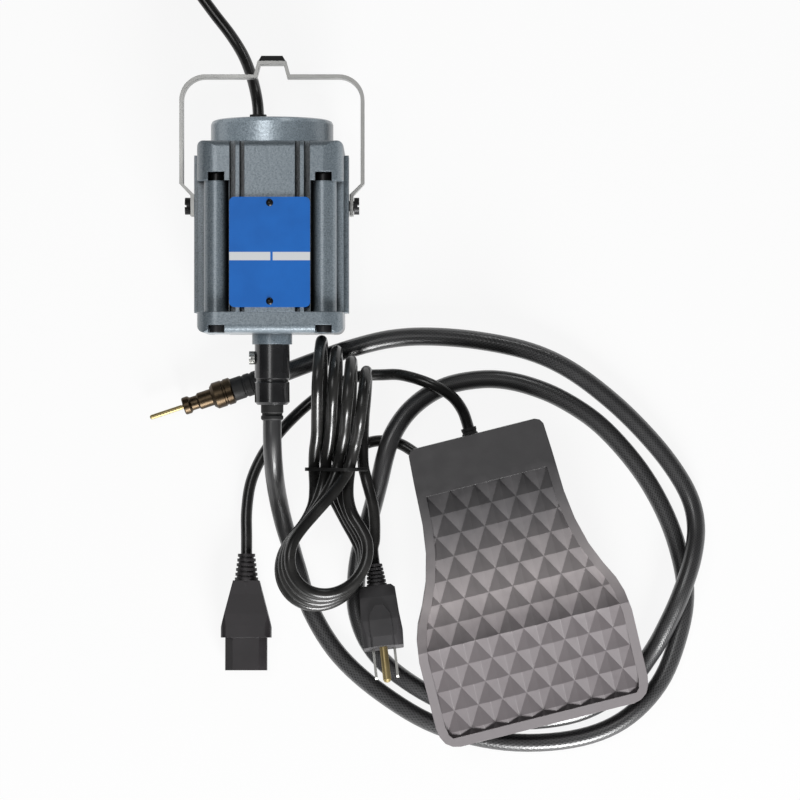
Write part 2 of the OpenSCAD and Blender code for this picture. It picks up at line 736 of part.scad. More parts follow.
module pedal_tread() {
  color(tread_grey) lay_pedal() difference() {
    union() {
      difference() {
        intersection() {
          tread_profile(0, skirt_z);
          linear_extrude(100) tread_plan(0);
        }
        intersection() {
          tread_profile(top_wall, skirt_z - 1);
          linear_extrude(100) tread_plan(3);
        }
        intersection() {
          difference() {
            translate([-wide, -tread_length, 0]) cube([2 * wide, tread_length, 100]);
            tread_profile(3.4, 0);
          }
          linear_extrude(100) panel_plan(0);
        }
      }
      intersection() {
        diamond_field();
        linear_extrude(100) panel_plan(0.02);
      }
      for (s = [-1, 1]) translate([s * 17 - 2.5, -hinge_v, 0]) {
        translate([0, -6, hinge_z]) cube([5, 12, rear_height - hinge_z - 2]);
        translate([0, 0, hinge_z]) rotate([0, 90, 0]) cylinder(r = 6, h = 5);
      }
    }
    translate([0, -hinge_v, hinge_z]) rotate([0, 90, 0]) {
      cylinder(r = pin_r + running_gap, h = 80, center = true);
    }
  }
}

// Base tray under the tread, with its front corners cut back
base_rear = 6;
base_front = 152;
base_side = [[21.5, base_rear], [33.5, base_rear + 12], [36.5, 60], [42, 80], [50, 100],
  [54, 116], [54, 128], [32, base_front]];
module base_plan(e) {
  n = len(base_side);
  polygon(concat([for (q = base_side) [q[0] - e, -(q[1] < 10 ? q[1] + e : q[1] > 150 ? q[1] - e : q[1])]],
    [for (i = [n - 1 : -1 : 0]) let (q = base_side[i])
      [e - q[0], -(q[1] < 10 ? q[1] + e : q[1] > 150 ? q[1] - e : q[1])]]));
}

feet = [[24, 16], [45, 118]];
gland_z = 8.2;
gland_spots = [[-2, base_rear, 0], [-27.5, base_rear + 6, 45]];
module pedal_base() {
  color(black) lay_pedal() difference() {
    union() {
      translate([0, 0, foot_h]) linear_extrude(floor_z - foot_h) base_plan(0);
      translate([0, 0, foot_h]) linear_extrude(23 - foot_h) difference() {
        base_plan(0);
        base_plan(2.6);
      }
      for (s = [-1, 1]) translate([s * 10.5 - 2.5, -hinge_v, foot_h]) {
        translate([0, -6, 0]) cube([5, 12, hinge_z - foot_h]);
        translate([0, 0, hinge_z - foot_h]) rotate([0, 90, 0]) cylinder(r = 6, h = 5);
      }
      translate([0, -spring_v, foot_h]) cylinder(r = 5.5, h = 9);
      for (sx = [-1, 1], v = [38, 84]) translate([sx * 22, -v, foot_h]) cylinder(r = 3, h = 6);
    }
    translate([0, -hinge_v, hinge_z]) rotate([0, 90, 0]) {
      cylinder(r = pin_r + 0.02, h = 80, center = true);
    }
    for (g = gland_spots) translate([g[0], -g[1], gland_z]) rotate(g[2]) rotate([-90, 0, 0]) {
      translate([0, 0, -5]) cylinder(r = 4 + seat_gap, h = 10);
    }
    for (sx = [-1, 1], f = feet) translate([sx * f[0], -f[1], 0]) cylinder(r = 2.5 + seat_gap, h = 20);
  }
}

module rubber_feet() {
  color(black) lay_pedal() for (sx = [-1, 1], f = feet) translate([sx * f[0], -f[1], 0]) {
    cylinder(r1 = 7.4, r2 = 6.6, h = foot_h);
    cylinder(r = 2.5, h = floor_z + 1);
  }
}

module hinge_pin() {
  color(steel) lay_pedal() translate([0, -hinge_v, hinge_z]) rotate([0, 90, 0]) {
    cylinder(r = pin_r, h = 44, center = true);
  }
}

// Return spring from the base floor to the tread
spring_lo = floor_z + 1;
spring_hi = tread_z(spring_v) - top_wall - 1.4;
spring_curls = 7;
spring_path = [for (i = [0 : spring_curls * 8]) let (u = i / (spring_curls * 8))
  [7.6 * cos(45 * i), -spring_v + 7.6 * sin(45 * i), spring_lo + (spring_hi - spring_lo) * u]];
module return_spring() {
  color(steel) lay_pedal() tube(spring_path, 0.9, 6);
}

// Control board on four posts, with the sensor that the tread presses
board_z = foot_h + 6;
module control_board() {
  color([0.12, 0.35, 0.2]) lay_pedal() {
    translate([-26, -88, board_z]) cube([52, 54, 1.6]);
    translate([-20, -50, board_z + 1.5]) cube([14, 12, 9]);
    translate([6, -46, board_z + 1.5]) cube([14, 5, 11]);
    for (x = [-16, -6]) translate([x, -66, board_z + 1.5]) cylinder(r = 4, h = 11);
  }
}

plunger_top = tread_z(sensor_v) - top_wall - 0.3;
module sensor_housing() {
  color(black) lay_pedal() translate([12, -sensor_v, board_z + 1.6]) difference() {
    translate([-7, -7, 0]) cube([14, 14, 16]);
    translate([0, 0, 4]) cylinder(r = 3 + running_gap, h = 20);
  }
}

module sensor_plunger() {
  z0 = board_z + 1.6 + 4 + 6;
  color(brass) lay_pedal() translate([12, -sensor_v, z0]) intersection() {
    cylinder(r = 3, h = plunger_top - z0);
    translate([0, 0, plunger_top - z0 - 60]) sphere(60);
  }
}

// Cord grips where the leads leave the pedal
module gland(g) {
  lay_pedal() translate([g[0], -g[1], gland_z]) rotate(g[2]) rotate([-90, 0, 0]) difference() {
    union() {
      translate([0, 0, -2.6]) cylinder(r = 4, h = 4);
      rotate_extrude() {
        polygon([[0, 0], [5, 0], [5, 3], [4.4, 3.6], [4.4, 4.4], [4.8, 5], [4.8, 6.4], [4.3, 7],
          [4.3, 7.8], [4.6, 8.4], [4.6, 10], [0, 10]]);
      }
    }
    translate([0, 0, -5]) cylinder(r = lead_r + seat_gap, h = 20);
  }
}

module power_gland() {
  color(black) gland(gland_spots[1]);
}

module outlet_gland() {
  color(black) gland(gland_spots[0]);
}

// Place on the table of a point at a distance out of a cord grip
function grip_point(g, out) = let (
  x = g[0] - out * sin(g[2]), y = -g[1] + out * cos(g[2]), c = cos(pedal_turn), s = sin(pedal_turn))
  pedal_at + [x * c - y * s, x * s + y * c, gland_z];

// Tied hank of the power lead: it stands on edge at the top and opens out flat at the bottom
hank_at = [-46.5, -42];
waist_z = 29.7;
hank_waist = 3.85;
top_r = 21.4;
top_long = 77;
low_long = 80;
function ease(u) = let (q = min(1, max(0, u))) q * q * (3 - 2 * q);

// The hank stands on edge at its top and turns to lie nearly flat at its bottom
function twist(a) = ease((25 - a) / 54);

// One point of the hank: along its axis, across one loop, and which loop it is in
function hank_point(a, w, t) = let (
  down = twist(a),
  turn = 90 - 80 * down,
  pitch = 7.5 + (a > 0 ? 1.6 * ease(a / 60) : 0) + 0.9 * down + 1.2 * down * (1 - down),
  h = pitch * (t - hank_loops / 2),
  x0 = hank_at[0] + (a > 0 ? 0.05 * a : 0.1 * a),
  z0 = waist_z + (a > 0 ? 5 : 11.7) * ease(abs(a) / 56))
  [x0 - w * cos(turn) + h * sin(turn), hank_at[1] + a, z0 + w * sin(turn) + h * cos(turn)];
function top_end(i) = top_long - 6 * i;
function low_end(i) = low_long - 2.8 * i;
function low_r(i) = 24.4 - 0.4 * i;
function top_over(i) = 32.5 + 4.1 * i;
function low_over(i) = 37.2 + 0.8 * i;

// A straight run opens out from the waist, and a fold goes on past the half circle to meet it
function run(i, u, side, r, long, over, dir, t) = let (
  end = long - r - r * sin(over), out = hank_waist + (r * cos(over) - hank_waist) * u * u)
  hank_point(dir * u * end, side * out, t);
function fold(i, u, side, r, long, over, dir, t) = let (q = (180 + 2 * over) * u - over)
  hank_point(dir * (long - r + r * sin(q)), side * r * cos(q), t);

// One loop, from the waist down, round the bottom, up over the top and back to the waist
function hank_loop(i) = concat(
  [for (u = [0, 0.25, 0.5, 0.75]) run(i, u, -1, low_r(i), low_end(i), low_over(i), -1, i + 0.12 * u)],
  [for (u = [0 : 1 / 12 : 1.01]) fold(i, u, -1, low_r(i), low_end(i), low_over(i), -1, i + 0.12 + 0.26 * u)],
  [for (u = [0.75, 0.5, 0.25]) run(i, u, 1, low_r(i), low_end(i), low_over(i), -1, i + 0.5 - 0.12 * u)],
  [for (u = [0, 0.25, 0.5, 0.75]) run(i, u, 1, top_r, top_end(i), top_over(i), 1, i + 0.5 + 0.12 * u)],
  [for (u = [0 : 1 / 12 : 1.01]) fold(i, u, 1, top_r, top_end(i), top_over(i), 1, i + 0.62 + 0.26 * u)],
  [for (u = [0.75, 0.5, 0.25]) run(i, u, -1, top_r, top_end(i), top_over(i), 1, i + 1 - 0.12 * u)]);
hank_all = [for (i = [0 : hank_loops - 1]) each hank_loop(i)];
hank_route = [for (i = [2 : len(hank_all) - 6]) hank_all[i]];
hank_start = hank_route[0];
hank_end = hank_route[len(hank_route) - 1];
hank_in = heading(hank_route, 0);
hank_out = heading(hank_route, len(hank_route) - 1);

module power_hank() {
  color(black) tube(hank_route, lead_r, 6);
}

power_route = concat([grip_point(gland_spots[1], 3), grip_point(gland_spots[1], 11)],
  [[-7, -26.6, 5.4], [-16.7, -24.4, 3.8], [-27, -25.7, 3.7], [-36.9, -31.6, 4.8], [-43.8, -41.1, 8],
   [-47.1, -53.3, 12.5]], [hank_start - 6 * hank_in, hank_start]);
module power_lead() {
  color(black) tube(smooth(power_route, 2), lead_r, 8);
}

plug_at = [-23, -98, 18.2];
plug_turn = 6.5;
plug_rise = 9;
plug_dir = [sin(plug_turn) * cos(plug_rise), -cos(plug_turn) * cos(plug_rise), sin(plug_rise)];
tail_route = concat([hank_end, hank_end + 6 * hank_out],
  [[-29.8, -21, 10.4], [-29.8, -37.4, 16.6], [-27.8, -47.3, 19.2], [-23.5, -64.8, 19.6],
   [-22.9, -82, 16.9]], [plug_at - 9 * plug_dir, plug_at + 3 * plug_dir]);
module power_tail() {
  color(black) tube(smooth(tail_route, 2), lead_r, 8);
}

// Thin tie round the waist of the hank, turned with it
module hank_tie() {
  hw = norm(hank_point(1, 0, hank_loops - 0.5) - hank_point(1, 0, 0.5)) / 2 + lead_r + 0.6;
  hh = hank_waist + 1.2 * lead_r + 0.9;
  r = 1.2 * lead_r + 0.4;
  color(black) translate([hank_at[0], hank_at[1] + 1, waist_z]) rotate([0, -80 * twist(1), 0]) {
    rotate([90, 0, 0]) linear_extrude(2, center = true) difference() {
      oblong(hw + 1, hh + 1, r + 1);
      oblong(hw, hh, r);
    }
    translate([hw + 0.6, 0, 0]) rotate([0, 90, 0]) cylinder(r = 1, h = 7);
  }
}

// Moulded plugs: their own axis is Z, X across and Y up
module aim(p, turn, rise) {
  translate(p) rotate(turn) rotate([0, -rise, 0]) rotate([90, 0, 90]) children();
}

// Grooved strain relief round a lead
module relief(long, r1, r2) {
  step = long / 6;
  rotate_extrude() {
    polygon(concat([[0, 0]],
      [for (i = [0 : 5]) let (r = r1 + (r2 - r1) * i / 5) each
        [[r, step * i], [r, step * (i + 0.62)], [r - 0.8, step * (i + 0.66)], [r - 0.8, step * (i + 0.96)]]],
      [[r2, long], [r2, long + 6], [0, long + 6]]));
  }
}

// Rounded oblong outline
module oblong(hw, hh, r) {
  square([2 * hw, 2 * (hh - r)], center = true);
  square([2 * (hw - r), 2 * hh], center = true);
  for (sx = [-1, 1], sy = [-1, 1]) translate([sx * (hw - r), sy * (hh - r)]) circle(r);
}

// Solid between two side outlines, each a list of distance along and half size
module moulding(across, upright, hw, hh, r) {
  lo = across[0][0];
  hi = across[len(across) - 1][0];
  intersection() {
    translate([0, 0, lo]) linear_extrude(hi - lo) oblong(hw, hh, r);
    rotate([-90, 0, 0]) linear_extrude(4 * hh, center = true) {
      polygon(concat([for (q = across) [q[1], -q[0]]],
        [for (i = [len(across) - 1 : -1 : 0]) [-across[i][1], -across[i][0]]]));
    }
    rotate([0, 90, 0]) linear_extrude(4 * hw, center = true) {
      polygon(concat([for (q = upright) [-q[0], q[1]]],
        [for (i = [len(upright) - 1 : -1 : 0]) [-upright[i][0], -upright[i][1]]]));
    }
  }
}

// Mains plug with two flat blades and an earth pin
blade_x = 6.35;
blade_y = -4;
earth_y = 7.9;
plug_long = 50;
module mains_plug() {
  color([0.3, 0.3, 0.31]) aim(plug_at, plug_turn - 90, plug_rise) difference() {
    union() {
      relief(14, 4.7, 6);
      translate([0, 1.6, 0]) moulding([[25, 2.6], [31, 6.4], [plug_long, 7.2]],
        [[25, 9], [34, 10.8], [44, 12], [plug_long, 11.8]], 7.2, 12, 2);
      difference() {
        moulding([[13, 8.4], [15, 10.6], [30, 11.4], [40, 12.4], [plug_long, 11.8]],
          [[13, 6], [20, 8.4], [34, 11.2], [44, 12.4], [plug_long, 12.2]], 12.4, 12.4, 5);
        for (sx = [-1, 1], i = [0 : 3]) translate([sx * (11.3 + 0.2 * i), 0, 22 + 4.4 * i]) {
          rotate([0, sx * 5, 0]) cube([2.2, 16, 1.8], center = true);
        }
      }
    }
    translate([0, 0, -1]) cylinder(r = lead_r + seat_gap, h = 13);
    for (sx = [-1, 1]) translate([sx * blade_x, blade_y, plug_long]) {
      cube([1.5 + 2 * seat_gap, 6.3 + 2 * seat_gap, 20], center = true);
    }
    translate([0, earth_y, plug_long - 10]) cylinder(r = 2.4 + seat_gap, h = 20);
  }
}

module plug_blades() {
  color(steel) aim(plug_at, plug_turn - 90, plug_rise) {
    for (sx = [-1, 1]) translate([sx * blade_x, blade_y, plug_long - 10]) difference() {
      translate([-0.75, -3.15, 0]) cube([1.5, 6.3, 28]);
      translate([0, 0, 24]) rotate([0, 90, 0]) cylinder(r = 1.5, h = 4, center = true);
      for (sy = [-1, 1]) translate([0, sy * 3.15, 28]) rotate([45, 0, 0]) cube([4, 1.6, 1.6], center = true);
    }
  }
}

module earth_pin() {
  color(brass) aim(plug_at, plug_turn - 90, plug_rise) translate([0, earth_y, plug_long - 10]) {
    rotate_extrude() {
      polygon([[0, 0], [2.4, 0], [2.4, 29.4], [1.7, 30.8], [0, 31.4]]);
    }
  }
}

// Outlet lead, from the rear of the pedal to the motor socket connector
outlet_at = [-99.6, -92, 6.6];
outlet_rise = 4;
outlet_dir = [0, -cos(outlet_rise), sin(outlet_rise)];
outlet_route = concat([grip_point(gland_spots[0], 3), grip_point(gland_spots[0], 11)],
  [[29.6, -6.5, 10.4], [23.7, 1.5, 14.4], [14.8, 7.4, 16.9], [4.5, 11.8, 15.8], [-7.8, 15, 10.1],
   [-17.9, 15.1, 5], [-32, 14.2, 3.6], [-45, 9.6, 3.5], [-57, 2, 3.5], [-69, -8, 3.5], [-80, -19.5, 3.5],
   [-90, -33, 3.5], [-97, -49, 3.5], [-99.6, -66, 4]],
  [outlet_at - 10 * outlet_dir, outlet_at + 3 * outlet_dir]);
module outlet_lead() {
  color(black) tube(smooth(outlet_route, 2), lead_r, 8);
}

// Socket connector with three slots for the motor plug
slot_spots = [[-7, -1.6], [0, 2.4], [7, -1.6]];
outlet_long = 69.5;
module outlet_connector() {
  color([0.24, 0.23, 0.24]) aim(outlet_at, -90, outlet_rise) difference() {
    union() {
      relief(17, 5.2, 7);
      moulding([[16, 7.8], [41, 14.3], [44, 15], [50, 15]],
        [[16, 6.8], [24, 7.2], [36, 8.4], [43, 8.8], [50, 8.8]], 15, 8.8, 4);
      translate([0, 0, 49]) linear_extrude(outlet_long - 49) difference() {
        oblong(12.4, 8, 1.6);
        for (sx = [-1, 1]) translate([sx * 12.4, 8]) rotate(45) square(6.4, center = true);
      }
    }
    translate([0, 0, -1]) cylinder(r = lead_r + seat_gap, h = 16);
    for (q = slot_spots) translate([q[0] - 1.4, q[1] - 2.6, outlet_long - 17]) cube([2.8, 5.2, 20]);
  }
}

module outlet_contacts() {
  color(brass) aim(outlet_at, -90, outlet_rise) {
    for (q = slot_spots) translate([q[0] - 1.35, q[1] - 2.55, outlet_long - 17]) difference() {
      cube([2.7, 5.1, 9]);
      translate([0.7, -1, 1.5]) cube([1.3, 8, 9]);
    }
  }
}

// Motor lead: out of the cap, and its rest put away in a tied coil of two layers
coil_at = [-110, 308];
coil_out = 48;
coil_pitch = 7.5;
coil_z = 4.8;
coil_from = 209.5;
coil_sweep = 360 * coil_turns + coil_from - 90;
coil_n = round(coil_sweep / 15);
coil_half = coil_sweep / 720;
coil_wind = [for (i = [0 : coil_n]) let (
  turned = coil_sweep / 360 * i / coil_n,
  q = coil_from - 360 * turned,
  r = coil_out - coil_pitch * (coil_half - abs(turned - coil_half)))
  [coil_at[0] + r * cos(q), coil_at[1] + r * sin(q), coil_z + 7.4 * ease(2 * (turned - coil_half) + 0.5)]];
coil_in = [sin(coil_from), -cos(coil_from), 0];
coil_first = coil_wind[0] - 7 * coil_in;
coil_last = coil_wind[coil_n] + [7, 0, 0];
coil_route = concat([coil_first], coil_wind, [coil_last]);
module motor_lead_coil() {
  color(black) tube(coil_route, lead_r, 6);
}

cap_exit = motor_at + [lead_hole[0], cap_top, -lead_hole[1]];
motor_route = concat([cap_exit - [0, 3, 0], cap_exit + [0, 8, 0]],
  [[-93.6, 183, 21], [-97, 195, 13.8], [-102, 207, 7.8], [-109.5, 219, 5.2], [-119.5, 232, 4.8],
   [-131, 248, 4.8], [-141, 265, 4.8]],
  [coil_first]);
module motor_lead() {
  color(black) tube(smooth(motor_route, 2), lead_r, 8);
}

inlet_at = coil_last + [26, 0, 0];
inlet_route = [coil_last, coil_last + [8, 0, 0], inlet_at - [8, 0, 0], inlet_at + [3, 0, 0]];
module motor_lead_end() {
  color(black) tube(smooth(inlet_route, 2), lead_r, 8);
}

// Tie round one side of the coil
module coil_tie() {
  deep = coil_pitch * coil_half + lead_diameter + 1;
  high = 7.4 + lead_diameter + 0.6;
  color(black) translate([coil_at[0], coil_at[1], coil_z + 3.7]) rotate(coil_from - 24) {
    translate([coil_out + lead_r + 0.4 - deep / 2, 0, 0]) rotate([90, 0, 0]) {
      linear_extrude(8, center = true) difference() {
        square([deep + 2, high + 2], center = true);
        square([deep, high], center = true);
      }
    }
  }
}

// Motor plug: three flat pins inside a shroud
inlet_long = 58;
module motor_plug() {
  color([0.24, 0.23, 0.24]) aim(inlet_at, 0, 0) difference() {
    union() {
      relief(15, 4.6, 5.6);
      moulding([[14, 7], [19, 9.6], [32, 14.6], [inlet_long, 14.6]],
        [[14, 5], [22, 7.6], [34, 11], [inlet_long, 11]], 14.6, 11, 3);
    }
    translate([0, 0, -1]) cylinder(r = lead_r + seat_gap, h = 14);
    translate([0, 0, inlet_long - 17]) linear_extrude(20) oblong(12.7, 8.4, 1.4);
    for (q = slot_spots) translate([q[0] - 1 - seat_gap, q[1] - 2 - seat_gap, inlet_long - 24]) {
      cube([2 + 2 * seat_gap, 4 + 2 * seat_gap, 20]);
    }
  }
}

module motor_plug_blades() {
  color(steel) aim(inlet_at, 0, 0) {
    for (q = slot_spots) translate([q[0] - 1, q[1] - 2, inlet_long - 24]) cube([2, 4, 21]);
  }
}

// Least distance of a wound lead to itself, measured along its own route
function apart(p, d) = min([for (i = [0 : len(p) - 1]) for (j = [i + d : 1 : len(p) - 1]) norm(p[i] - p[j])]);
echo(hank_gap = apart(smooth(hank_route, 3), 20) - lead_diameter);
echo(coil_gap = apart(smooth(coil_route, 2), 20) - lead_diameter);

motor_housing();
lower_bell();
top_cap();
through_bolts();
nameplate();
nameplate_rivets();
field_stack();
field_coils();
armature_shaft();
armature_core();
commutator();
cooling_fan();
lower_bearing();
upper_bearing();
brush_holders();
carbon_brushes();
bail();
hanger_pad();
bail_screws();
lead_bushing();
sheath_connector();
connector_screw();
motor_ferrule();
drive_coupling();
flex_sheath();
flex_core();
tip_ferrule();
tip_collar();
tip_nose();
tip_bush();
drive_tip();
pedal_base();
rubber_feet();
pedal_tread();
hinge_pin();
return_spring();
control_board();
sensor_housing();
sensor_plunger();
power_gland();
outlet_gland();
power_lead();
power_hank();
power_tail();
hank_tie();
mains_plug();
plug_blades();
earth_pin();
outlet_lead();
outlet_connector();
outlet_contacts();
motor_lead();
motor_lead_coil();
motor_lead_end();
coil_tie();
motor_plug();
motor_plug_blades();
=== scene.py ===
import math
import bpy
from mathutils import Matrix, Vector
from mathutils.geometry import interpolate_bezier


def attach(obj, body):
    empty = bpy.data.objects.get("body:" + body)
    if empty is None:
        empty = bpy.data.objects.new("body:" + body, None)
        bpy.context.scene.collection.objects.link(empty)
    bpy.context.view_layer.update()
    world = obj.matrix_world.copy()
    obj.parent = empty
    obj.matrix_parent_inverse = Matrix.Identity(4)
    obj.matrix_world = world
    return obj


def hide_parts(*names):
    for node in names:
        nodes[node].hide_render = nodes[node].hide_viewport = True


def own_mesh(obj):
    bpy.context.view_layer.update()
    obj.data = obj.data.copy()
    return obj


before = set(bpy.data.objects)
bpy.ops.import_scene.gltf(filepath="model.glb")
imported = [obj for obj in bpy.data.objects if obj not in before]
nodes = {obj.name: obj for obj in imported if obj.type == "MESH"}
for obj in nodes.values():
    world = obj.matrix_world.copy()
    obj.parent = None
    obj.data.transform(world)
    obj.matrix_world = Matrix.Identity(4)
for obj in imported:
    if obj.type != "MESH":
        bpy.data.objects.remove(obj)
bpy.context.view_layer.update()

# The camera looks straight down on the tool as it lies on the table, from far enough away
# that the tall motor and the flat leads keep nearly the same scale.
MM = 0.001
view_centre = Vector((-7.8, 0.0, 0.0)) * MM
view_width = 480 * MM
camera_height = 2.2
sensor_width = 36.0
camera_data = bpy.data.cameras.new("photo_camera")
camera_data.sensor_width = sensor_width
camera_data.lens = sensor_width * camera_height / view_width
camera = bpy.data.objects.new("photo_camera", camera_data)
camera.location = view_centre + Vector((0, 0, camera_height))
bpy.context.scene.collection.objects.link(camera)
bpy.context.scene.camera = camera
bpy.context.scene.view_settings.view_transform = "Standard"

# A seamless sheet of white paper on the table, wide enough to show behind the tool from
# every side. It reads as white to the camera and keeps a soft contact shadow.
paper_size = 12.0
paper_drop = 0.4 * MM
paper_tone = (0.9, 0.9, 0.9, 1)
paper_roughness = 0.9
glow_share = 0.9
bpy.ops.object.select_all(action="DESELECT")
bpy.ops.mesh.primitive_plane_add(size=paper_size, location=(0, 0, -paper_drop))
paper = bpy.context.object
paper.name = "white_paper"
bpy.ops.object.transform_apply(location=True, rotation=True, scale=True)


def white_to_rays(tree):
    """1 for what the camera, a reflection or clear plastic sees, 0 for the light that lands."""
    path = tree.nodes.new("ShaderNodeLightPath")
    seen = path.outputs["Is Camera Ray"]
    for ray in ("Is Glossy Ray", "Is Transmission Ray"):
        either = tree.nodes.new("ShaderNodeMath")
        either.operation = "MAXIMUM"
        tree.links.new(seen, either.inputs[0])
        tree.links.new(path.outputs[ray], either.inputs[1])
        seen = either.outputs[0]
    return seen


paper_white = bpy.data.materials.new("paper_white")
paper_white.use_nodes = True
tree = paper_white.node_tree
sheet = tree.nodes["Principled BSDF"]
sheet.inputs["Base Color"].default_value = paper_tone
sheet.inputs["Roughness"].default_value = paper_roughness
glow = tree.nodes.new("ShaderNodeEmission")
glow.inputs["Strength"].default_value = 1.0
part_glow = tree.nodes.new("ShaderNodeMath")
part_glow.operation = "MULTIPLY"
part_glow.inputs[1].default_value = glow_share
tree.links.new(white_to_rays(tree), part_glow.inputs[0])
both = tree.nodes.new("ShaderNodeMixShader")
tree.links.new(part_glow.outputs[0], both.inputs[0])
tree.links.new(sheet.outputs[0], both.inputs[1])
tree.links.new(glow.outputs[0], both.inputs[2])
tree.links.new(both.outputs[0], tree.nodes["Material Output"].inputs["Surface"])
paper.data.materials.append(paper_white)

# Studio light: a soft box low in front that picks out the tread's diamonds, one overhead for
# the motor, a narrow one behind for the edges, and a weak even surround.
surround_strength = 0.07
surround = bpy.data.worlds.new("studio")
surround.use_nodes = True
bpy.context.scene.world = surround
sky = surround.node_tree.nodes["Background"]
sky.inputs["Color"].default_value = (1, 1, 1, 1)
sky.inputs["Strength"].default_value = surround_strength


def soft_box(name, place, size, power):
    """A round soft light that faces the middle of the view."""
    light = bpy.data.lights.new(name, "AREA")
    light.shape = "DISK"
    light.size = size
    light.energy = power
    lamp = bpy.data.objects.new(name, light)
    lamp.location = place
    lamp.rotation_euler = (view_centre - Vector(place)).to_track_quat("-Z", "Y").to_euler()
    bpy.context.scene.collection.objects.link(lamp)
    return lamp


soft_box("front_box", place=(0.5, -2.1, 0.9), size=1.0, power=84)
soft_box("overhead_box", place=(-0.6, 0.4, 2.1), size=0.9, power=9)
soft_box("rear_box", place=(0.6, 1.9, 0.9), size=0.5, power=4)

# The motor's body keeps the front light from its round cap, so one more soft box shines on
# the cap alone.
cap_only = bpy.data.collections.new("cap_only")
cap_only.objects.link(nodes["top_cap"])
cap_box = soft_box("cap_box", place=(-0.5, 0.9, 2.0), size=0.8, power=38)
cap_box.light_linking.receiver_collection = cap_only

# Flexible shaft: a woven and varnished black sheath on a steel liner, laid out on the table
# in two loose loops from the motor's nose to the tool end, with a wire core turning in it.
sheath_diameter = 11.0
sheath_length = 1.45
motor_axis = Vector((-83, 39, 42.5))
nose_end = -41.9
sheath_seat = 3.5
sheath_straight = 9.5
tip_at = Vector((-104, 7.2, 8.2))
sheath_route = [
    motor_axis + Vector((0, nose_end + sheath_seat, 0)),
    motor_axis + Vector((0, nose_end - sheath_straight, 0)),
    (-83, -23.6, 41.3), (-82.7, -33.6, 37.6), (-82.2, -42.5, 31.8), (-81.6, -49.8, 24.1),
    (-80.7, -57.2, 16.3), (-79.1, -66.1, 10.5), (-76.7, -76.1, 6.8), (-73.4, -86.7, 5.6),
    (-69.5, -100, 5.6), (-61, -126, 5.6), (-44, -153, 5.6), (-18, -176, 5.6), (15, -195, 5.6),
    (55, -204.5, 5.6), (95, -203, 5.6), (125, -192, 5.6), (147, -170, 5.6), (159, -141, 5.6),
    (163, -114, 5.6), (158, -87, 5.6), (148, -62, 5.6), (133, -38, 5.6), (112, -15, 5.6),
    (90, 0, 5.6), (70, 8.4, 5.6), (52, 12.2, 5.6), (36, 11.9, 5.9), (20.2, 8.5, 7),
    (6.8, 1.5, 9.2), (-4.4, -8.7, 11.7), (-12.5, -21.4, 13.5), (-16.7, -33.9, 13),
    (-20, -48, 10.1), (-23.6, -62, 7), (-27.7, -77, 5.7), (-32, -92, 5.6), (-34, -108, 5.6),
    (-33.5, -127, 5.6), (-25.5, -147, 5.6), (-8, -165, 5.6), (22, -182, 5.6),
    (60, -191.5, 5.6), (98, -187.5, 5.6), (126, -172, 5.6), (142, -152, 7.6),
    (152, -133, 13.6), (160, -114, 17.6), (166.5, -94, 15.6), (169, -75, 9.6),
    (165, -57, 5.9), (153, -37, 5.6), (136, -17, 5.6), (117, 1, 5.6), (94, 18, 5.6),
    (70, 29, 5.6), (40, 35.5, 5.6), (10, 38, 5.6), (-14, 36.5, 5.6), (-38, 30.6, 5.6),
    (-60, 22.8, 6.2), (-81, 14.9, 7.9), (-92, 11.2, 8.2), tip_at,
]
section_steps = 5
tube_steps = 6
line_steps = 9


def lay_cord(name, route, diameter):
    """A round cord through the route's points, each with handles along its neighbours' line.

    It is swept as a curve and kept as a mesh tube with the line that it follows.
    """
    points = [Vector(p) * MM for p in route]
    last = len(points) - 1
    curve = bpy.data.curves.new(name, "CURVE")
    curve.dimensions = "3D"
    curve.bevel_depth = diameter / 2 * MM
    curve.bevel_resolution = section_steps
    curve.resolution_u = tube_steps
    curve.use_fill_caps = True
    spline = curve.splines.new("BEZIER")
    spline.bezier_points.add(last)
    for i, knot in enumerate(spline.bezier_points):
        before, after = max(i - 1, 0), min(i + 1, last)
        lean = (points[after] - points[before]) / (3 * (after - before))
        knot.handle_left_type = "FREE"
        knot.handle_right_type = "FREE"
        knot.co = points[i]
        knot.handle_left = points[i] - lean
        knot.handle_right = points[i] + lean
    line = [points[0]]
    for a, b in zip(spline.bezier_points[:-1], spline.bezier_points[1:]):
        line += interpolate_bezier(a.co, a.handle_right, b.handle_left, b.co, line_steps)[1:]
    cord = bpy.data.objects.new(name, curve)
    bpy.context.scene.collection.objects.link(cord)
    bpy.ops.object.select_all(action="DESELECT")
    cord.select_set(True)
    bpy.context.view_layer.objects.active = cord
    bpy.ops.object.convert(target="MESH")
    cord = bpy.context.object
    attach(cord, "stand")
    return cord, [tuple(p) for p in line]


def new_finish(name, colour, roughness, metallic=0.0):
    """A material with its shader's plain values set, and its node tree for what varies."""
    finish = bpy.data.materials.new(name)
    finish.use_nodes = True
    shader = finish.node_tree.nodes["Principled BSDF"]
    shader.inputs["Base Color"].default_value = (*colour, 1)
    shader.inputs["Roughness"].default_value = roughness
    shader.inputs["Metallic"].default_value = metallic
    return finish, finish.node_tree, shader


def object_noise(tree, per_metre, detail, stretch=(1, 1, 1)):
    """Noise over the piece's own place, with the given number of grains in a metre."""
    place = tree.nodes.new("ShaderNodeTexCoord")
    fit = tree.nodes.new("ShaderNodeMapping")
    fit.inputs["Scale"].default_value = stretch
    tree.links.new(place.outputs["Object"], fit.inputs["Vector"])
    noise = tree.nodes.new("ShaderNodeTexNoise")
    noise.inputs["Scale"].default_value = per_metre
    noise.inputs["Detail"].default_value = detail
    tree.links.new(fit.outputs[0], noise.inputs["Vector"])
    return noise.outputs["Fac"]


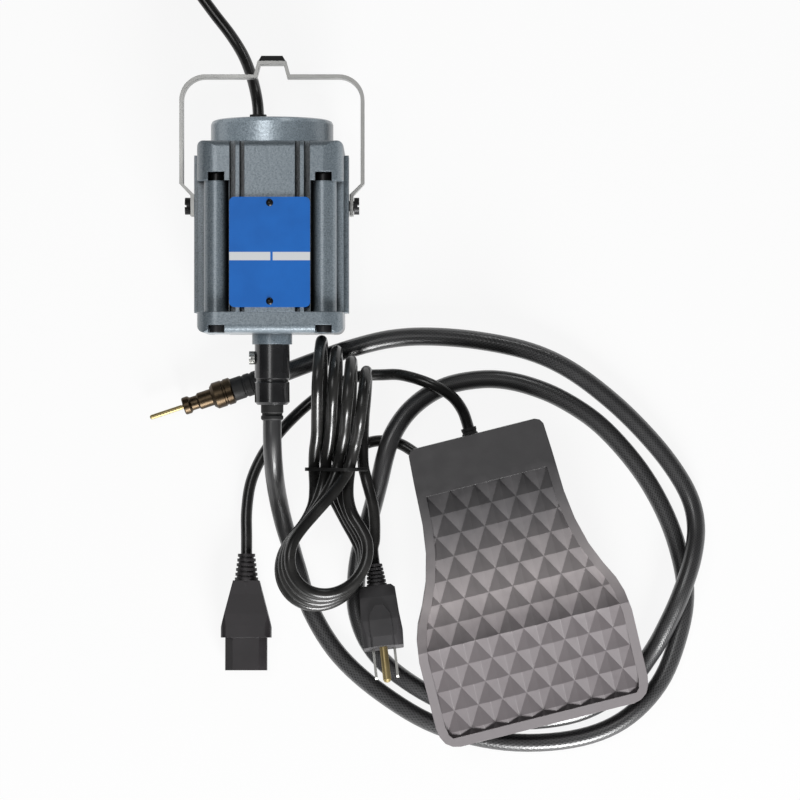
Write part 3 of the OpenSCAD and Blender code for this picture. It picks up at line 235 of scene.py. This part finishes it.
def blend_colours(tree, fac, low, high, start=0.35, end=0.65):
    """Two colours over a factor."""
    ramp = tree.nodes.new("ShaderNodeValToRGB")
    ramp.color_ramp.elements[0].position = start
    ramp.color_ramp.elements[0].color = (*low, 1)
    ramp.color_ramp.elements[1].position = end
    ramp.color_ramp.elements[1].color = (*high, 1)
    tree.links.new(fac, ramp.inputs[0])
    return ramp.outputs[0]


def spread_values(tree, fac, low, high, start=0.3, end=0.7):
    """A number between two values over a factor."""
    spread = tree.nodes.new("ShaderNodeMapRange")
    spread.inputs["From Min"].default_value = start
    spread.inputs["From Max"].default_value = end
    spread.inputs["To Min"].default_value = low
    spread.inputs["To Max"].default_value = high
    tree.links.new(fac, spread.inputs[0])
    return spread.outputs[0]


def add_bump(tree, shader, height, depth_mm, strength=1.0, edge_mm=0.0, edge_samples=4):
    """Relief of a given depth from a height of 0 to 1, over edges rounded by a small radius."""
    bump = tree.nodes.new("ShaderNodeBump")
    if edge_mm:
        edges = tree.nodes.new("ShaderNodeBevel")
        edges.samples = edge_samples
        edges.inputs["Radius"].default_value = edge_mm * MM
        tree.links.new(edges.outputs[0], bump.inputs["Normal"])
    bump.inputs["Strength"].default_value = strength
    bump.inputs["Distance"].default_value = depth_mm * MM
    tree.links.new(height, bump.inputs["Height"])
    tree.links.new(bump.outputs[0], shader.inputs["Normal"])


def dress(finish, *names):
    """The finish on the named pieces of the frame."""
    for name in names:
        nodes[name].data.materials.clear()
        nodes[name].data.materials.append(finish)


def worn_finish(name, dark, light, rough, metallic=0.0, grains=900, depth_mm=0.03,
                stretch=(1, 1, 1), edge_mm=0.3):
    """A finish with fine grain in its relief, and broad patches in its colour and gloss."""
    glossier, duller = 0.07, 0.08
    finish, tree, shader = new_finish(name, light, rough, metallic)
    grain = object_noise(tree, grains, detail=6.0, stretch=stretch)
    patches = object_noise(tree, per_metre=45, detail=3.0)
    tree.links.new(blend_colours(tree, patches, dark, light), shader.inputs["Base Color"])
    gloss = spread_values(tree, patches, rough - glossier, rough + duller)
    tree.links.new(gloss, shader.inputs["Roughness"])
    add_bump(tree, shader, grain, depth_mm, edge_mm=edge_mm)
    return finish


def woven_sheath(name, length, around):
    """Black braid under varnish: two families of crossing threads, along the cord's own UV."""
    threads_around = 8
    thread_waver = 0.6
    finish, tree, shader = new_finish(name, colour=(0.006, 0.006, 0.007), roughness=0.34)
    place = tree.nodes.new("ShaderNodeTexCoord")
    cross = tree.nodes.new("ShaderNodeMath")
    cross.operation = "MAXIMUM"
    for side, lean in enumerate((math.radians(45), math.radians(-45))):
        fit = tree.nodes.new("ShaderNodeMapping")
        fit.inputs["Scale"].default_value = (length / around, 1, 1)
        fit.inputs["Rotation"].default_value = (0, 0, lean)
        tree.links.new(place.outputs["UV"], fit.inputs["Vector"])
        wave = tree.nodes.new("ShaderNodeTexWave")
        wave.inputs["Scale"].default_value = threads_around
        wave.inputs["Distortion"].default_value = thread_waver
        tree.links.new(fit.outputs[0], wave.inputs["Vector"])
        tree.links.new(wave.outputs["Fac"], cross.inputs[side])
    colour = blend_colours(
        tree, cross.outputs[0], low=(0.007, 0.007, 0.007), high=(0.056, 0.056, 0.058),
        start=0.2, end=1.0,
    )
    tree.links.new(colour, shader.inputs["Base Color"])
    patches = object_noise(tree, per_metre=60, detail=3.0)
    tree.links.new(spread_values(tree, patches, low=0.3, high=0.42), shader.inputs["Roughness"])
    add_bump(tree, shader, cross.outputs[0], depth_mm=0.1, strength=0.6)
    shader.inputs["Specular IOR Level"].default_value = 0.8
    shader.inputs["Coat Weight"].default_value = 0.4
    shader.inputs["Coat Roughness"].default_value = 0.22
    return finish


sheath, sheath_line = lay_cord("shaft_sheath", sheath_route, sheath_diameter)
sheath_around = sheath_diameter * MM * math.pi
sheath.data.materials.append(woven_sheath("sheath_weave", sheath_length, sheath_around))
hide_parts("flex_sheath")
core_wire = worn_finish(
    "core_wire", dark=(0.3, 0.3, 0.3), light=(0.5, 0.5, 0.5), rough=0.4, metallic=1.0,
    grains=1500,
)
dress(core_wire, "flex_core")

# Mains lead: round black rubber-jacketed cord from the pedal's corner, folded into a hank of
# four loops that stands on edge at its top and opens out flat at its bottom.
lead_diameter = 6.8
hank_loops = 4
hank_at = Vector((-46.5, -42.0))
hank_waist = 3.85
waist_z = 29.7
hank_pitch = 7.5
top_spread, top_spread_over = 1.6, 60.0
low_spread, turn_spread = 0.9, 1.2
turn_from, turn_over = 25.0, 54.0
stands_at, turns_by = 90.0, 80.0
top_lean, low_lean = 0.05, 0.1
top_rise, low_rise, rise_over = 5.0, 11.7, 56.0


def ease(u):
    """0 to 1 with a soft start and a soft end."""
    q = min(1.0, max(0.0, u))
    return q * q * (3 - 2 * q)


def hank_point(along, across, loop):
    """A point of the hank: along its axis, across one loop, and which loop it is in."""
    down = ease((turn_from - along) / turn_over)
    turn = math.radians(stands_at - turns_by * down)
    pitch = hank_pitch + top_spread * ease(along / top_spread_over)
    pitch += low_spread * down + turn_spread * down * (1 - down)
    shift = pitch * (loop - hank_loops / 2)
    axis_x = hank_at.x + (top_lean if along > 0 else low_lean) * along
    axis_z = waist_z + (top_rise if along > 0 else low_rise) * ease(abs(along) / rise_over)
    x = axis_x - across * math.cos(turn) + shift * math.sin(turn)
    z = axis_z + across * math.sin(turn) + shift * math.cos(turn)
    return Vector((x, hank_at.y + along, z))


low_r, low_r_less = 24.4, 0.4
low_long, low_less = 80.0, 2.8
low_wrap, low_wrap_more = 37.2, 0.8
top_r = 21.4
top_long, top_less = 77.0, 6.0
top_wrap, top_wrap_more = 32.5, 4.1
half_loop = 0.5
run_share = 0.12
fold_share = half_loop - 2 * run_share
outward = (0, 0.25, 0.5, 0.75)
inward = (0.75, 0.5, 0.25)
fold_points = 12
around_fold = [k / fold_points for k in range(fold_points + 1)]


def hank_run(u, side, end, loop):
    """Part of the way along one nearly straight run, from the waist to where a fold starts."""
    r, long, wrap, way = end
    out = hank_waist + (r * math.cos(wrap) - hank_waist) * u * u
    return hank_point(way * u * (long - r - r * math.sin(wrap)), side * out, loop)


def hank_fold(u, side, end, loop):
    """Part of the way round the fold at one end, which wraps past a half circle."""
    r, long, wrap, way = end
    q = (math.pi + 2 * wrap) * u - wrap
    return hank_point(way * (long - r + r * math.sin(q)), side * r * math.cos(q), loop)


def hank_loop(i):
    """One loop: from the waist round the bottom, up over the top and back to the waist."""
    low = (low_r - low_r_less * i, low_long - low_less * i,
           math.radians(low_wrap + low_wrap_more * i), -1)
    top = (top_r, top_long - top_less * i, math.radians(top_wrap + top_wrap_more * i), 1)
    mid = i + half_loop
    path = [hank_run(u, -1, low, i + run_share * u) for u in outward]
    path += [hank_fold(u, -1, low, i + run_share + fold_share * u) for u in around_fold]
    path += [hank_run(u, 1, low, mid - run_share * u) for u in inward]
    path += [hank_run(u, 1, top, mid + run_share * u) for u in outward]
    path += [hank_fold(u, 1, top, mid + run_share + fold_share * u) for u in around_fold]
    path += [hank_run(u, -1, top, i + 1 - run_share * u) for u in inward]
    return path


points_before, points_after = 2, 5
hank_whole = [p for i in range(hank_loops) for p in hank_loop(i)]
hank_route = hank_whole[points_before:-points_after]
hank_in = (hank_route[1] - hank_route[0]).normalized()
hank_out = (hank_route[-1] - hank_route[-2]).normalized()
pedal_at = Vector((36, -20, 0))
pedal_turn = math.radians(14.1)
grip_z = 8.2
grip_inside, grip_mouth, grip_straight = 3, 9, 11


def grip_point(across, back, lean, out):
    """A point on the table, a distance out of one of the pedal's cord grips."""
    x = across - out * math.sin(lean)
    y = out * math.cos(lean) - back
    turned_x = x * math.cos(pedal_turn) - y * math.sin(pedal_turn)
    turned_y = x * math.sin(pedal_turn) + y * math.cos(pedal_turn)
    return pedal_at + Vector((turned_x, turned_y, grip_z))


corner_grip = (-27.5, 12, math.radians(45))
hank_straight = 6
plug_at = Vector((-23, -98, 18.2))
plug_turn = math.radians(6.5)
plug_rise = math.radians(9)
plug_out = Vector((
    math.sin(plug_turn) * math.cos(plug_rise), -math.cos(plug_turn) * math.cos(plug_rise),
    math.sin(plug_rise),
))
plug_straight = 9
plug_inside = 3
power_route = [grip_point(*corner_grip, grip_inside), grip_point(*corner_grip, grip_straight)]
power_route += [
    (-7, -26.6, 5.4), (-16.7, -24.4, 3.8), (-27, -25.7, 3.7), (-36.9, -31.6, 4.8),
    (-43.8, -41.1, 8), (-47.1, -53.3, 12.5), hank_route[0] - hank_straight * hank_in,
]
power_route += hank_route
power_route += [
    hank_route[-1] + hank_straight * hank_out,
    (-29.8, -21, 10.4), (-29.8, -37.4, 16.6), (-27.8, -47.3, 19.2), (-23.5, -64.8, 19.6),
    (-22.9, -82, 16.9), plug_at - plug_straight * plug_out, plug_at + plug_inside * plug_out,
]


def rubber_jacket():
    """Black rubber cord jacket: satin, with a fine grain and slightly uneven gloss."""
    finish, tree, shader = new_finish(
        "rubber_jacket", colour=(0.012, 0.012, 0.013), roughness=0.42)
    patches = object_noise(tree, per_metre=70, detail=4.0)
    colour = blend_colours(
        tree, patches, low=(0.016, 0.016, 0.0155), high=(0.03, 0.0295, 0.0285))
    tree.links.new(colour, shader.inputs["Base Color"])
    gloss = spread_values(tree, patches, low=0.22, high=0.33)
    tree.links.new(gloss, shader.inputs["Roughness"])
    add_bump(tree, shader, object_noise(tree, per_metre=1400, detail=3.0), depth_mm=0.01)
    return finish


jacket = rubber_jacket()
power_cord, power_line = lay_cord("mains_lead", power_route, lead_diameter)
power_cord.data.materials.append(jacket)
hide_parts("power_lead", "power_hank", "power_tail")

# Outlet lead: the same black cord, from the middle of the pedal's rear over the sheath and
# round to the left, to the socket connector that feeds the motor.
rear_grip = (-2, 6, 0.0)
outlet_at = Vector((-99.6, -92, 6.6))
outlet_rise = math.radians(4)
outlet_out = Vector((0, -math.cos(outlet_rise), math.sin(outlet_rise)))
outlet_straight = 10
outlet_route = [grip_point(*rear_grip, grip_inside), grip_point(*rear_grip, grip_straight)]
outlet_route += [
    (29.6, -6.5, 10.4), (23.7, 1.5, 14.4), (14.8, 7.4, 16.9), (4.5, 11.8, 15.8),
    (-7.8, 15, 10.1), (-17.9, 15.1, 5), (-32, 14.2, 3.6), (-45, 9.6, 3.5), (-57, 2, 3.5),
    (-69, -8, 3.5), (-80, -19.5, 3.5), (-90, -33, 3.5), (-97, -49, 3.5), (-99.6, -66, 4),
    outlet_at - outlet_straight * outlet_out, outlet_at + plug_inside * outlet_out,
]
outlet_cord, outlet_line = lay_cord("outlet_cord", outlet_route, lead_diameter)
outlet_cord.data.materials.append(jacket)
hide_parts("outlet_lead")

# Motor lead: out of the bushing in the cap and under the bail. The rest of its length is
# wound into a flat coil of two layers with a tie round it, and ends in its own plug.
coil_turns = 5
coil_at = Vector((-110, 308))
coil_out = 48.0
coil_pitch = 7.5
coil_z = 4.8
coil_lift = 7.4
climb_turns = 0.5
coil_from, coil_to = 209.5, 90
coil_sweep = 360 * coil_turns + coil_from - coil_to
degrees_a_point = 15
coil_steps = round(coil_sweep / degrees_a_point)
all_turns = coil_sweep / 360
half_turns = all_turns / 2
coil_wind = []
for i in range(coil_steps + 1):
    turned = all_turns * i / coil_steps
    q = math.radians(coil_from - 360 * turned)
    r = coil_out - coil_pitch * (half_turns - abs(turned - half_turns))
    z = coil_z + coil_lift * ease((turned - half_turns) / climb_turns + 0.5)
    coil_wind.append(Vector((coil_at.x + r * math.cos(q), coil_at.y + r * math.sin(q), z)))
coil_straight = 7
coil_in = Vector((math.sin(math.radians(coil_from)), -math.cos(math.radians(coil_from)), 0))
tail_out = Vector((1, 0, 0))
tail_length = 26
tail_straight = 8
coil_last = coil_wind[-1] + coil_straight * tail_out
inlet_at = coil_last + tail_length * tail_out
cap_exit = motor_axis + Vector((-9, 125.3, -19))
cap_out = Vector((0, 1, 0))
bushing_inside, bushing_mouth, bushing_straight = 3, 5, 8
motor_route = [cap_exit - bushing_inside * cap_out, cap_exit + bushing_straight * cap_out]
motor_route += [
    (-93.6, 183, 21), (-97, 195, 13.8), (-102, 207, 7.8), (-109.5, 219, 5.2),
    (-119.5, 232, 4.8), (-131, 248, 4.8), (-141, 265, 4.8),
    coil_wind[0] - coil_straight * coil_in,
]
motor_route += coil_wind
motor_route += [
    coil_last, coil_last + tail_straight * tail_out,
    inlet_at - tail_straight * tail_out, inlet_at + plug_inside * tail_out,
]
motor_cord, motor_line = lay_cord("motor_cord", motor_route, lead_diameter)
motor_cord.data.materials.append(jacket)
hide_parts("motor_lead", "motor_lead_coil", "motor_lead_end")

# Ties: thin black plastic strips, bent round the waist of the hank and round the coil so
# that the leads keep their loops.
tie_strip = worn_finish(
    "tie_strip", dark=(0.006, 0.006, 0.006), light=(0.014, 0.014, 0.014), rough=0.5,
    grains=1200,
)
dress(tie_strip, "hank_tie", "coil_tie")

# Motor castings: die-cast housing, lower end bell and top cap, sprayed with a grey-blue enamel
# that dries in a fine hammered pattern. Shade is painted into the grooves between the ribs.
dimples_a_metre = 620
dimple_softness = 0.7
groove_depth = 7 * MM
groove_samples = 6
groove_darkest = 0.06
enamel, tree, shader = new_finish(
    "hammered_enamel", colour=(0.2, 0.25, 0.28), roughness=0.34, metallic=0.25)
place = tree.nodes.new("ShaderNodeTexCoord")
dimples = tree.nodes.new("ShaderNodeTexVoronoi")
dimples.feature = "SMOOTH_F1"
dimples.inputs["Scale"].default_value = dimples_a_metre
dimples.inputs["Smoothness"].default_value = dimple_softness
tree.links.new(place.outputs["Object"], dimples.inputs["Vector"])
flake = object_noise(tree, per_metre=1300, detail=5.0)
speckle = blend_colours(
    tree, flake, low=(0.15, 0.185, 0.213), high=(0.255, 0.303, 0.34), start=0.36, end=0.64)
# Painted shade: ambient occlusion darkens the enamel's colour in the grooves and hollows.
groove_shade_ao = tree.nodes.new("ShaderNodeAmbientOcclusion")
groove_shade_ao.samples = groove_samples
groove_shade_ao.only_local = True
groove_shade_ao.inputs["Distance"].default_value = groove_depth
painted_shade_factor = spread_values(tree, groove_shade_ao.outputs["AO"], low=groove_darkest, high=1.0)
shade_on_speckle = tree.nodes.new("ShaderNodeMix")
shade_on_speckle.data_type = "RGBA"
shade_on_speckle.blend_type = "MULTIPLY"
shade_on_speckle.inputs["Factor"].default_value = 1.0
tree.links.new(speckle, shade_on_speckle.inputs["A"])
tree.links.new(painted_shade_factor, shade_on_speckle.inputs["B"])
tree.links.new(shade_on_speckle.outputs["Result"], shader.inputs["Base Color"])
tree.links.new(spread_values(tree, flake, low=0.26, high=0.46), shader.inputs["Roughness"])
add_bump(tree, shader, dimples.outputs["Distance"], depth_mm=0.09, strength=0.8, edge_mm=0.8)
shader.inputs["Coat Weight"].default_value = 0.35
shader.inputs["Coat Roughness"].default_value = 0.18
dress(enamel, "motor_housing", "lower_bell", "top_cap")

# Fasteners of the motor, in blackened steel: four long through bolts in their corner
# pockets, and the two small drive rivets of the nameplate.
blackened = worn_finish(
    "blackened_steel", dark=(0.012, 0.012, 0.013), light=(0.035, 0.035, 0.037), rough=0.4,
    metallic=0.5, depth_mm=0.01,
)
dress(blackened, "through_bolts", "nameplate_rivets")

# Nameplate: thin aluminium sheet printed blue, with a white band across it and a short blue
# divider in the band, riveted to the front of the housing.
band_low = 80.6 * MM
band_high = 85.4 * MM
divider_x = -81.9 * MM
divider_half = 0.7 * MM
band_white = (0.78, 0.8, 0.82, 1)
print_blue, tree, shader = new_finish("plate_print", colour=(0.006, 0.15, 0.58), roughness=0.42)
place = tree.nodes.new("ShaderNodeTexCoord")
axes = tree.nodes.new("ShaderNodeSeparateXYZ")
tree.links.new(place.outputs["Object"], axes.inputs[0])


def within(tree, value, centre, half):
    """1 where a value lies close to a centre."""
    near = tree.nodes.new("ShaderNodeMath")
    near.operation = "COMPARE"
    near.inputs[1].default_value = centre
    near.inputs[2].default_value = half
    tree.links.new(value, near.inputs[0])
    return near.outputs[0]


band = within(tree, axes.outputs["Y"], (band_low + band_high) / 2, (band_high - band_low) / 2)
divider = within(tree, axes.outputs["X"], divider_x, divider_half)
white = tree.nodes.new("ShaderNodeMath")
white.operation = "SUBTRACT"
white.use_clamp = True
tree.links.new(band, white.inputs[0])
tree.links.new(divider, white.inputs[1])
ink_patches = object_noise(tree, per_metre=60, detail=4.0)
blues = blend_colours(tree, ink_patches, low=(0.005, 0.14, 0.55), high=(0.007, 0.16, 0.61))
paint = tree.nodes.new("ShaderNodeMix")
paint.data_type = "RGBA"
tree.links.new(white.outputs[0], paint.inputs["Factor"])
tree.links.new(blues, paint.inputs["A"])
paint.inputs["B"].default_value = band_white
tree.links.new(paint.outputs["Result"], shader.inputs["Base Color"])
add_bump(tree, shader, object_noise(tree, per_metre=700, detail=3.0), depth_mm=0.008)
shader.inputs["Specular IOR Level"].default_value = 0.3
dress(print_blue, "nameplate")

# Inside the motor: stacked laminations, enamelled windings, copper commutator bars, ground
# shaft, bearings, moulded fan and brush holders, and carbon brushes.
laminations = worn_finish(
    "laminations", dark=(0.2, 0.2, 0.21), light=(0.34, 0.34, 0.35), rough=0.45, metallic=1.0,
    depth_mm=0.05, stretch=(1, 9, 1),
)
windings = worn_finish(
    "windings", dark=(0.3, 0.1, 0.03), light=(0.5, 0.2, 0.08), rough=0.35, metallic=0.6,
    grains=500, depth_mm=0.12, stretch=(1, 6, 1),
)
copper_bars = worn_finish(
    "copper_bars", dark=(0.5, 0.22, 0.1), light=(0.7, 0.36, 0.2), rough=0.3, metallic=1.0)
ground_steel = worn_finish(
    "ground_steel", dark=(0.4, 0.4, 0.41), light=(0.55, 0.55, 0.56), rough=0.32, metallic=1.0,
    grains=600, depth_mm=0.006,
)
moulded_black = worn_finish(
    "moulded_black", dark=(0.012, 0.012, 0.012), light=(0.03, 0.03, 0.03), rough=0.5,
    grains=1200,
)
brush_carbon = worn_finish(
    "brush_carbon", dark=(0.012, 0.012, 0.012), light=(0.04, 0.04, 0.04), rough=0.6,
    metallic=0.2, grains=800,
)
dress(laminations, "field_stack", "armature_core")
dress(windings, "field_coils")
dress(copper_bars, "commutator")
dress(ground_steel, "armature_shaft", "lower_bearing", "upper_bearing", "drive_coupling")
dress(moulded_black, "cooling_fan", "brush_holders")
dress(brush_carbon, "carbon_brushes")

# Bail: one strip of plated steel bent to a loop with a raised step for the hook, on two dark
# pivot screws, with a dark rubber pad on the step.
strip_steel = worn_finish(
    "strip_steel", dark=(0.34, 0.34, 0.33), light=(0.46, 0.46, 0.45), rough=0.4, metallic=1.0,
    grains=300, depth_mm=0.004, stretch=(6, 1, 1),
)
soft_rubber = worn_finish(
    "soft_rubber", dark=(0.009, 0.009, 0.009), light=(0.022, 0.022, 0.022), rough=0.62,
    grains=1300, depth_mm=0.05,
)
dress(strip_steel, "bail")
dress(soft_rubber, "hanger_pad")
dress(blackened, "bail_screws")

# Cord grips and bushing: soft black rubber, pushed into the cap and the pedal's base, where
# they keep a pull on a lead from its wires.
dress(soft_rubber, "lead_bushing", "power_gland", "outlet_gland")

# Shaft connector: turned and black anodised, with a pale set screw that clamps it to the
# motor's nose. A black rubber ferrule ends the sheath at each end.
connector_black, tree, shader = new_finish(
    "connector_black", colour=(0.012, 0.012, 0.013), roughness=0.2)
smears = object_noise(tree, per_metre=50, detail=4.0)
smeared = blend_colours(tree, smears, low=(0.008, 0.008, 0.009), high=(0.02, 0.02, 0.021))
tree.links.new(smeared, shader.inputs["Base Color"])
tree.links.new(spread_values(tree, smears, low=0.14, high=0.3), shader.inputs["Roughness"])
add_bump(tree, shader, object_noise(tree, per_metre=900, detail=3.0), depth_mm=0.015)
shader.inputs["Coat Weight"].default_value = 0.4
plated = worn_finish(
    "plated_steel", dark=(0.26, 0.26, 0.25), light=(0.38, 0.38, 0.36), rough=0.42,
    metallic=0.9, grains=500, depth_mm=0.004, edge_mm=0.1,
)
dress(connector_black, "sheath_connector")
dress(plated, "connector_screw")
dress(soft_rubber, "motor_ferrule", "tip_ferrule")

# Tool end of the shaft: a turned collar and a grooved slip-joint nose in dark bronze, with a
# brass bush and the brass drive tip that turns in it.
dark_bronze = worn_finish(
    "dark_bronze", dark=(0.035, 0.025, 0.016), light=(0.11, 0.08, 0.05), rough=0.4,
    metallic=1.0, grains=600, depth_mm=0.008,
)
turned_brass = worn_finish(
    "turned_brass", dark=(0.36, 0.28, 0.13), light=(0.48, 0.39, 0.19), rough=0.46,
    metallic=0.7, grains=500, depth_mm=0.004, edge_mm=0.0,
)
dress(dark_bronze, "tip_collar", "tip_nose")
dress(turned_brass, "tip_bush", "drive_tip")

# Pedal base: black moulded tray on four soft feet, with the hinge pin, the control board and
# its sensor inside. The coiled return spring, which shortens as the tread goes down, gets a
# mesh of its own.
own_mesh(nodes["return_spring"])
solder_mask = worn_finish(
    "solder_mask", dark=(0.01, 0.07, 0.03), light=(0.02, 0.13, 0.06), rough=0.35, grains=500)
dress(moulded_black, "pedal_base", "sensor_housing")
dress(soft_rubber, "rubber_feet")
dress(ground_steel, "hinge_pin", "return_spring")
dress(turned_brass, "sensor_plunger")
dress(solder_mask, "control_board")

# Pedal tread: moulded in grey with a field of diamonds. Light and shade are painted into its
# colour along its length: charcoal towards the heel, palest across the middle and a warm grey
# at the front, with a little random scuffing.
fade_from = 20 * MM
fade_to = 170 * MM
scuff_reach = 0.07
heel_grey = (0.052, 0.05, 0.052)
front_grey = (0.155, 0.139, 0.145)
painted_light_stops = (
    (0.2, (0.145, 0.138, 0.142, 1)),
    (0.48, (0.38, 0.347, 0.35, 1)),
    (0.66, (0.19, 0.171, 0.177, 1)),
)
tread_finish, tree, shader = new_finish(
    "tread_painted_light", colour=(0.19, 0.165, 0.17), roughness=0.48)
place = tree.nodes.new("ShaderNodeTexCoord")
lengthwise = tree.nodes.new("ShaderNodeVectorMath")
lengthwise.operation = "DOT_PRODUCT"
lengthwise.inputs[1].default_value = (math.sin(pedal_turn), -math.cos(pedal_turn), 0)
tree.links.new(place.outputs["Object"], lengthwise.inputs[0])
heel = (pedal_at.x * math.sin(pedal_turn) - pedal_at.y * math.cos(pedal_turn)) * MM
towards_front = tree.nodes.new("ShaderNodeMapRange")
towards_front.inputs["From Min"].default_value = heel + fade_from
towards_front.inputs["From Max"].default_value = heel + fade_to
tree.links.new(lengthwise.outputs["Value"], towards_front.inputs[0])
scuffs = tree.nodes.new("ShaderNodeMapRange")
scuffs.inputs["To Min"].default_value = -scuff_reach
scuffs.inputs["To Max"].default_value = scuff_reach
tree.links.new(object_noise(tree, per_metre=90, detail=6.0), scuffs.inputs[0])
light_and_scuffs = tree.nodes.new("ShaderNodeMath")
light_and_scuffs.operation = "ADD"
tree.links.new(towards_front.outputs[0], light_and_scuffs.inputs[0])
tree.links.new(scuffs.outputs[0], light_and_scuffs.inputs[1])
# Painted light and shade: the ramp of greys along the tread, dark at the heel and palest across
# the middle.
painted_light_greys = blend_colours(tree, light_and_scuffs.outputs[0], heel_grey, front_grey, start=0.04, end=1.0)
for stop, grey in painted_light_stops:
    painted_light_greys.node.color_ramp.elements.new(stop).color = grey
tree.links.new(painted_light_greys, shader.inputs["Base Color"])
polish = object_noise(tree, per_metre=120, detail=5.0)
tree.links.new(spread_values(tree, polish, low=0.38, high=0.58), shader.inputs["Roughness"])
moulded_grain = object_noise(tree, per_metre=1500, detail=4.0)
add_bump(tree, shader, moulded_grain, depth_mm=0.02, edge_mm=0.4)
dress(tread_finish, "pedal_tread")

# Moulded plugs: grey mains plug with plated blades and a brass earth pin, and the charcoal
# socket connector and motor plug with their contacts.
plug_grey = worn_finish(
    "plug_grey", dark=(0.055, 0.053, 0.056), light=(0.09, 0.087, 0.091), rough=0.5,
    grains=1400, depth_mm=0.02,
)
charcoal = worn_finish(
    "charcoal", dark=(0.022, 0.019, 0.021), light=(0.038, 0.034, 0.037), rough=0.5,
    grains=1400, depth_mm=0.02,
)
dress(plug_grey, "mains_plug")
dress(plated, "plug_blades", "motor_plug_blades")
dress(turned_brass, "earth_pin", "outlet_contacts")
dress(charcoal, "outlet_connector", "motor_plug")

bpy.context.view_layer.update()
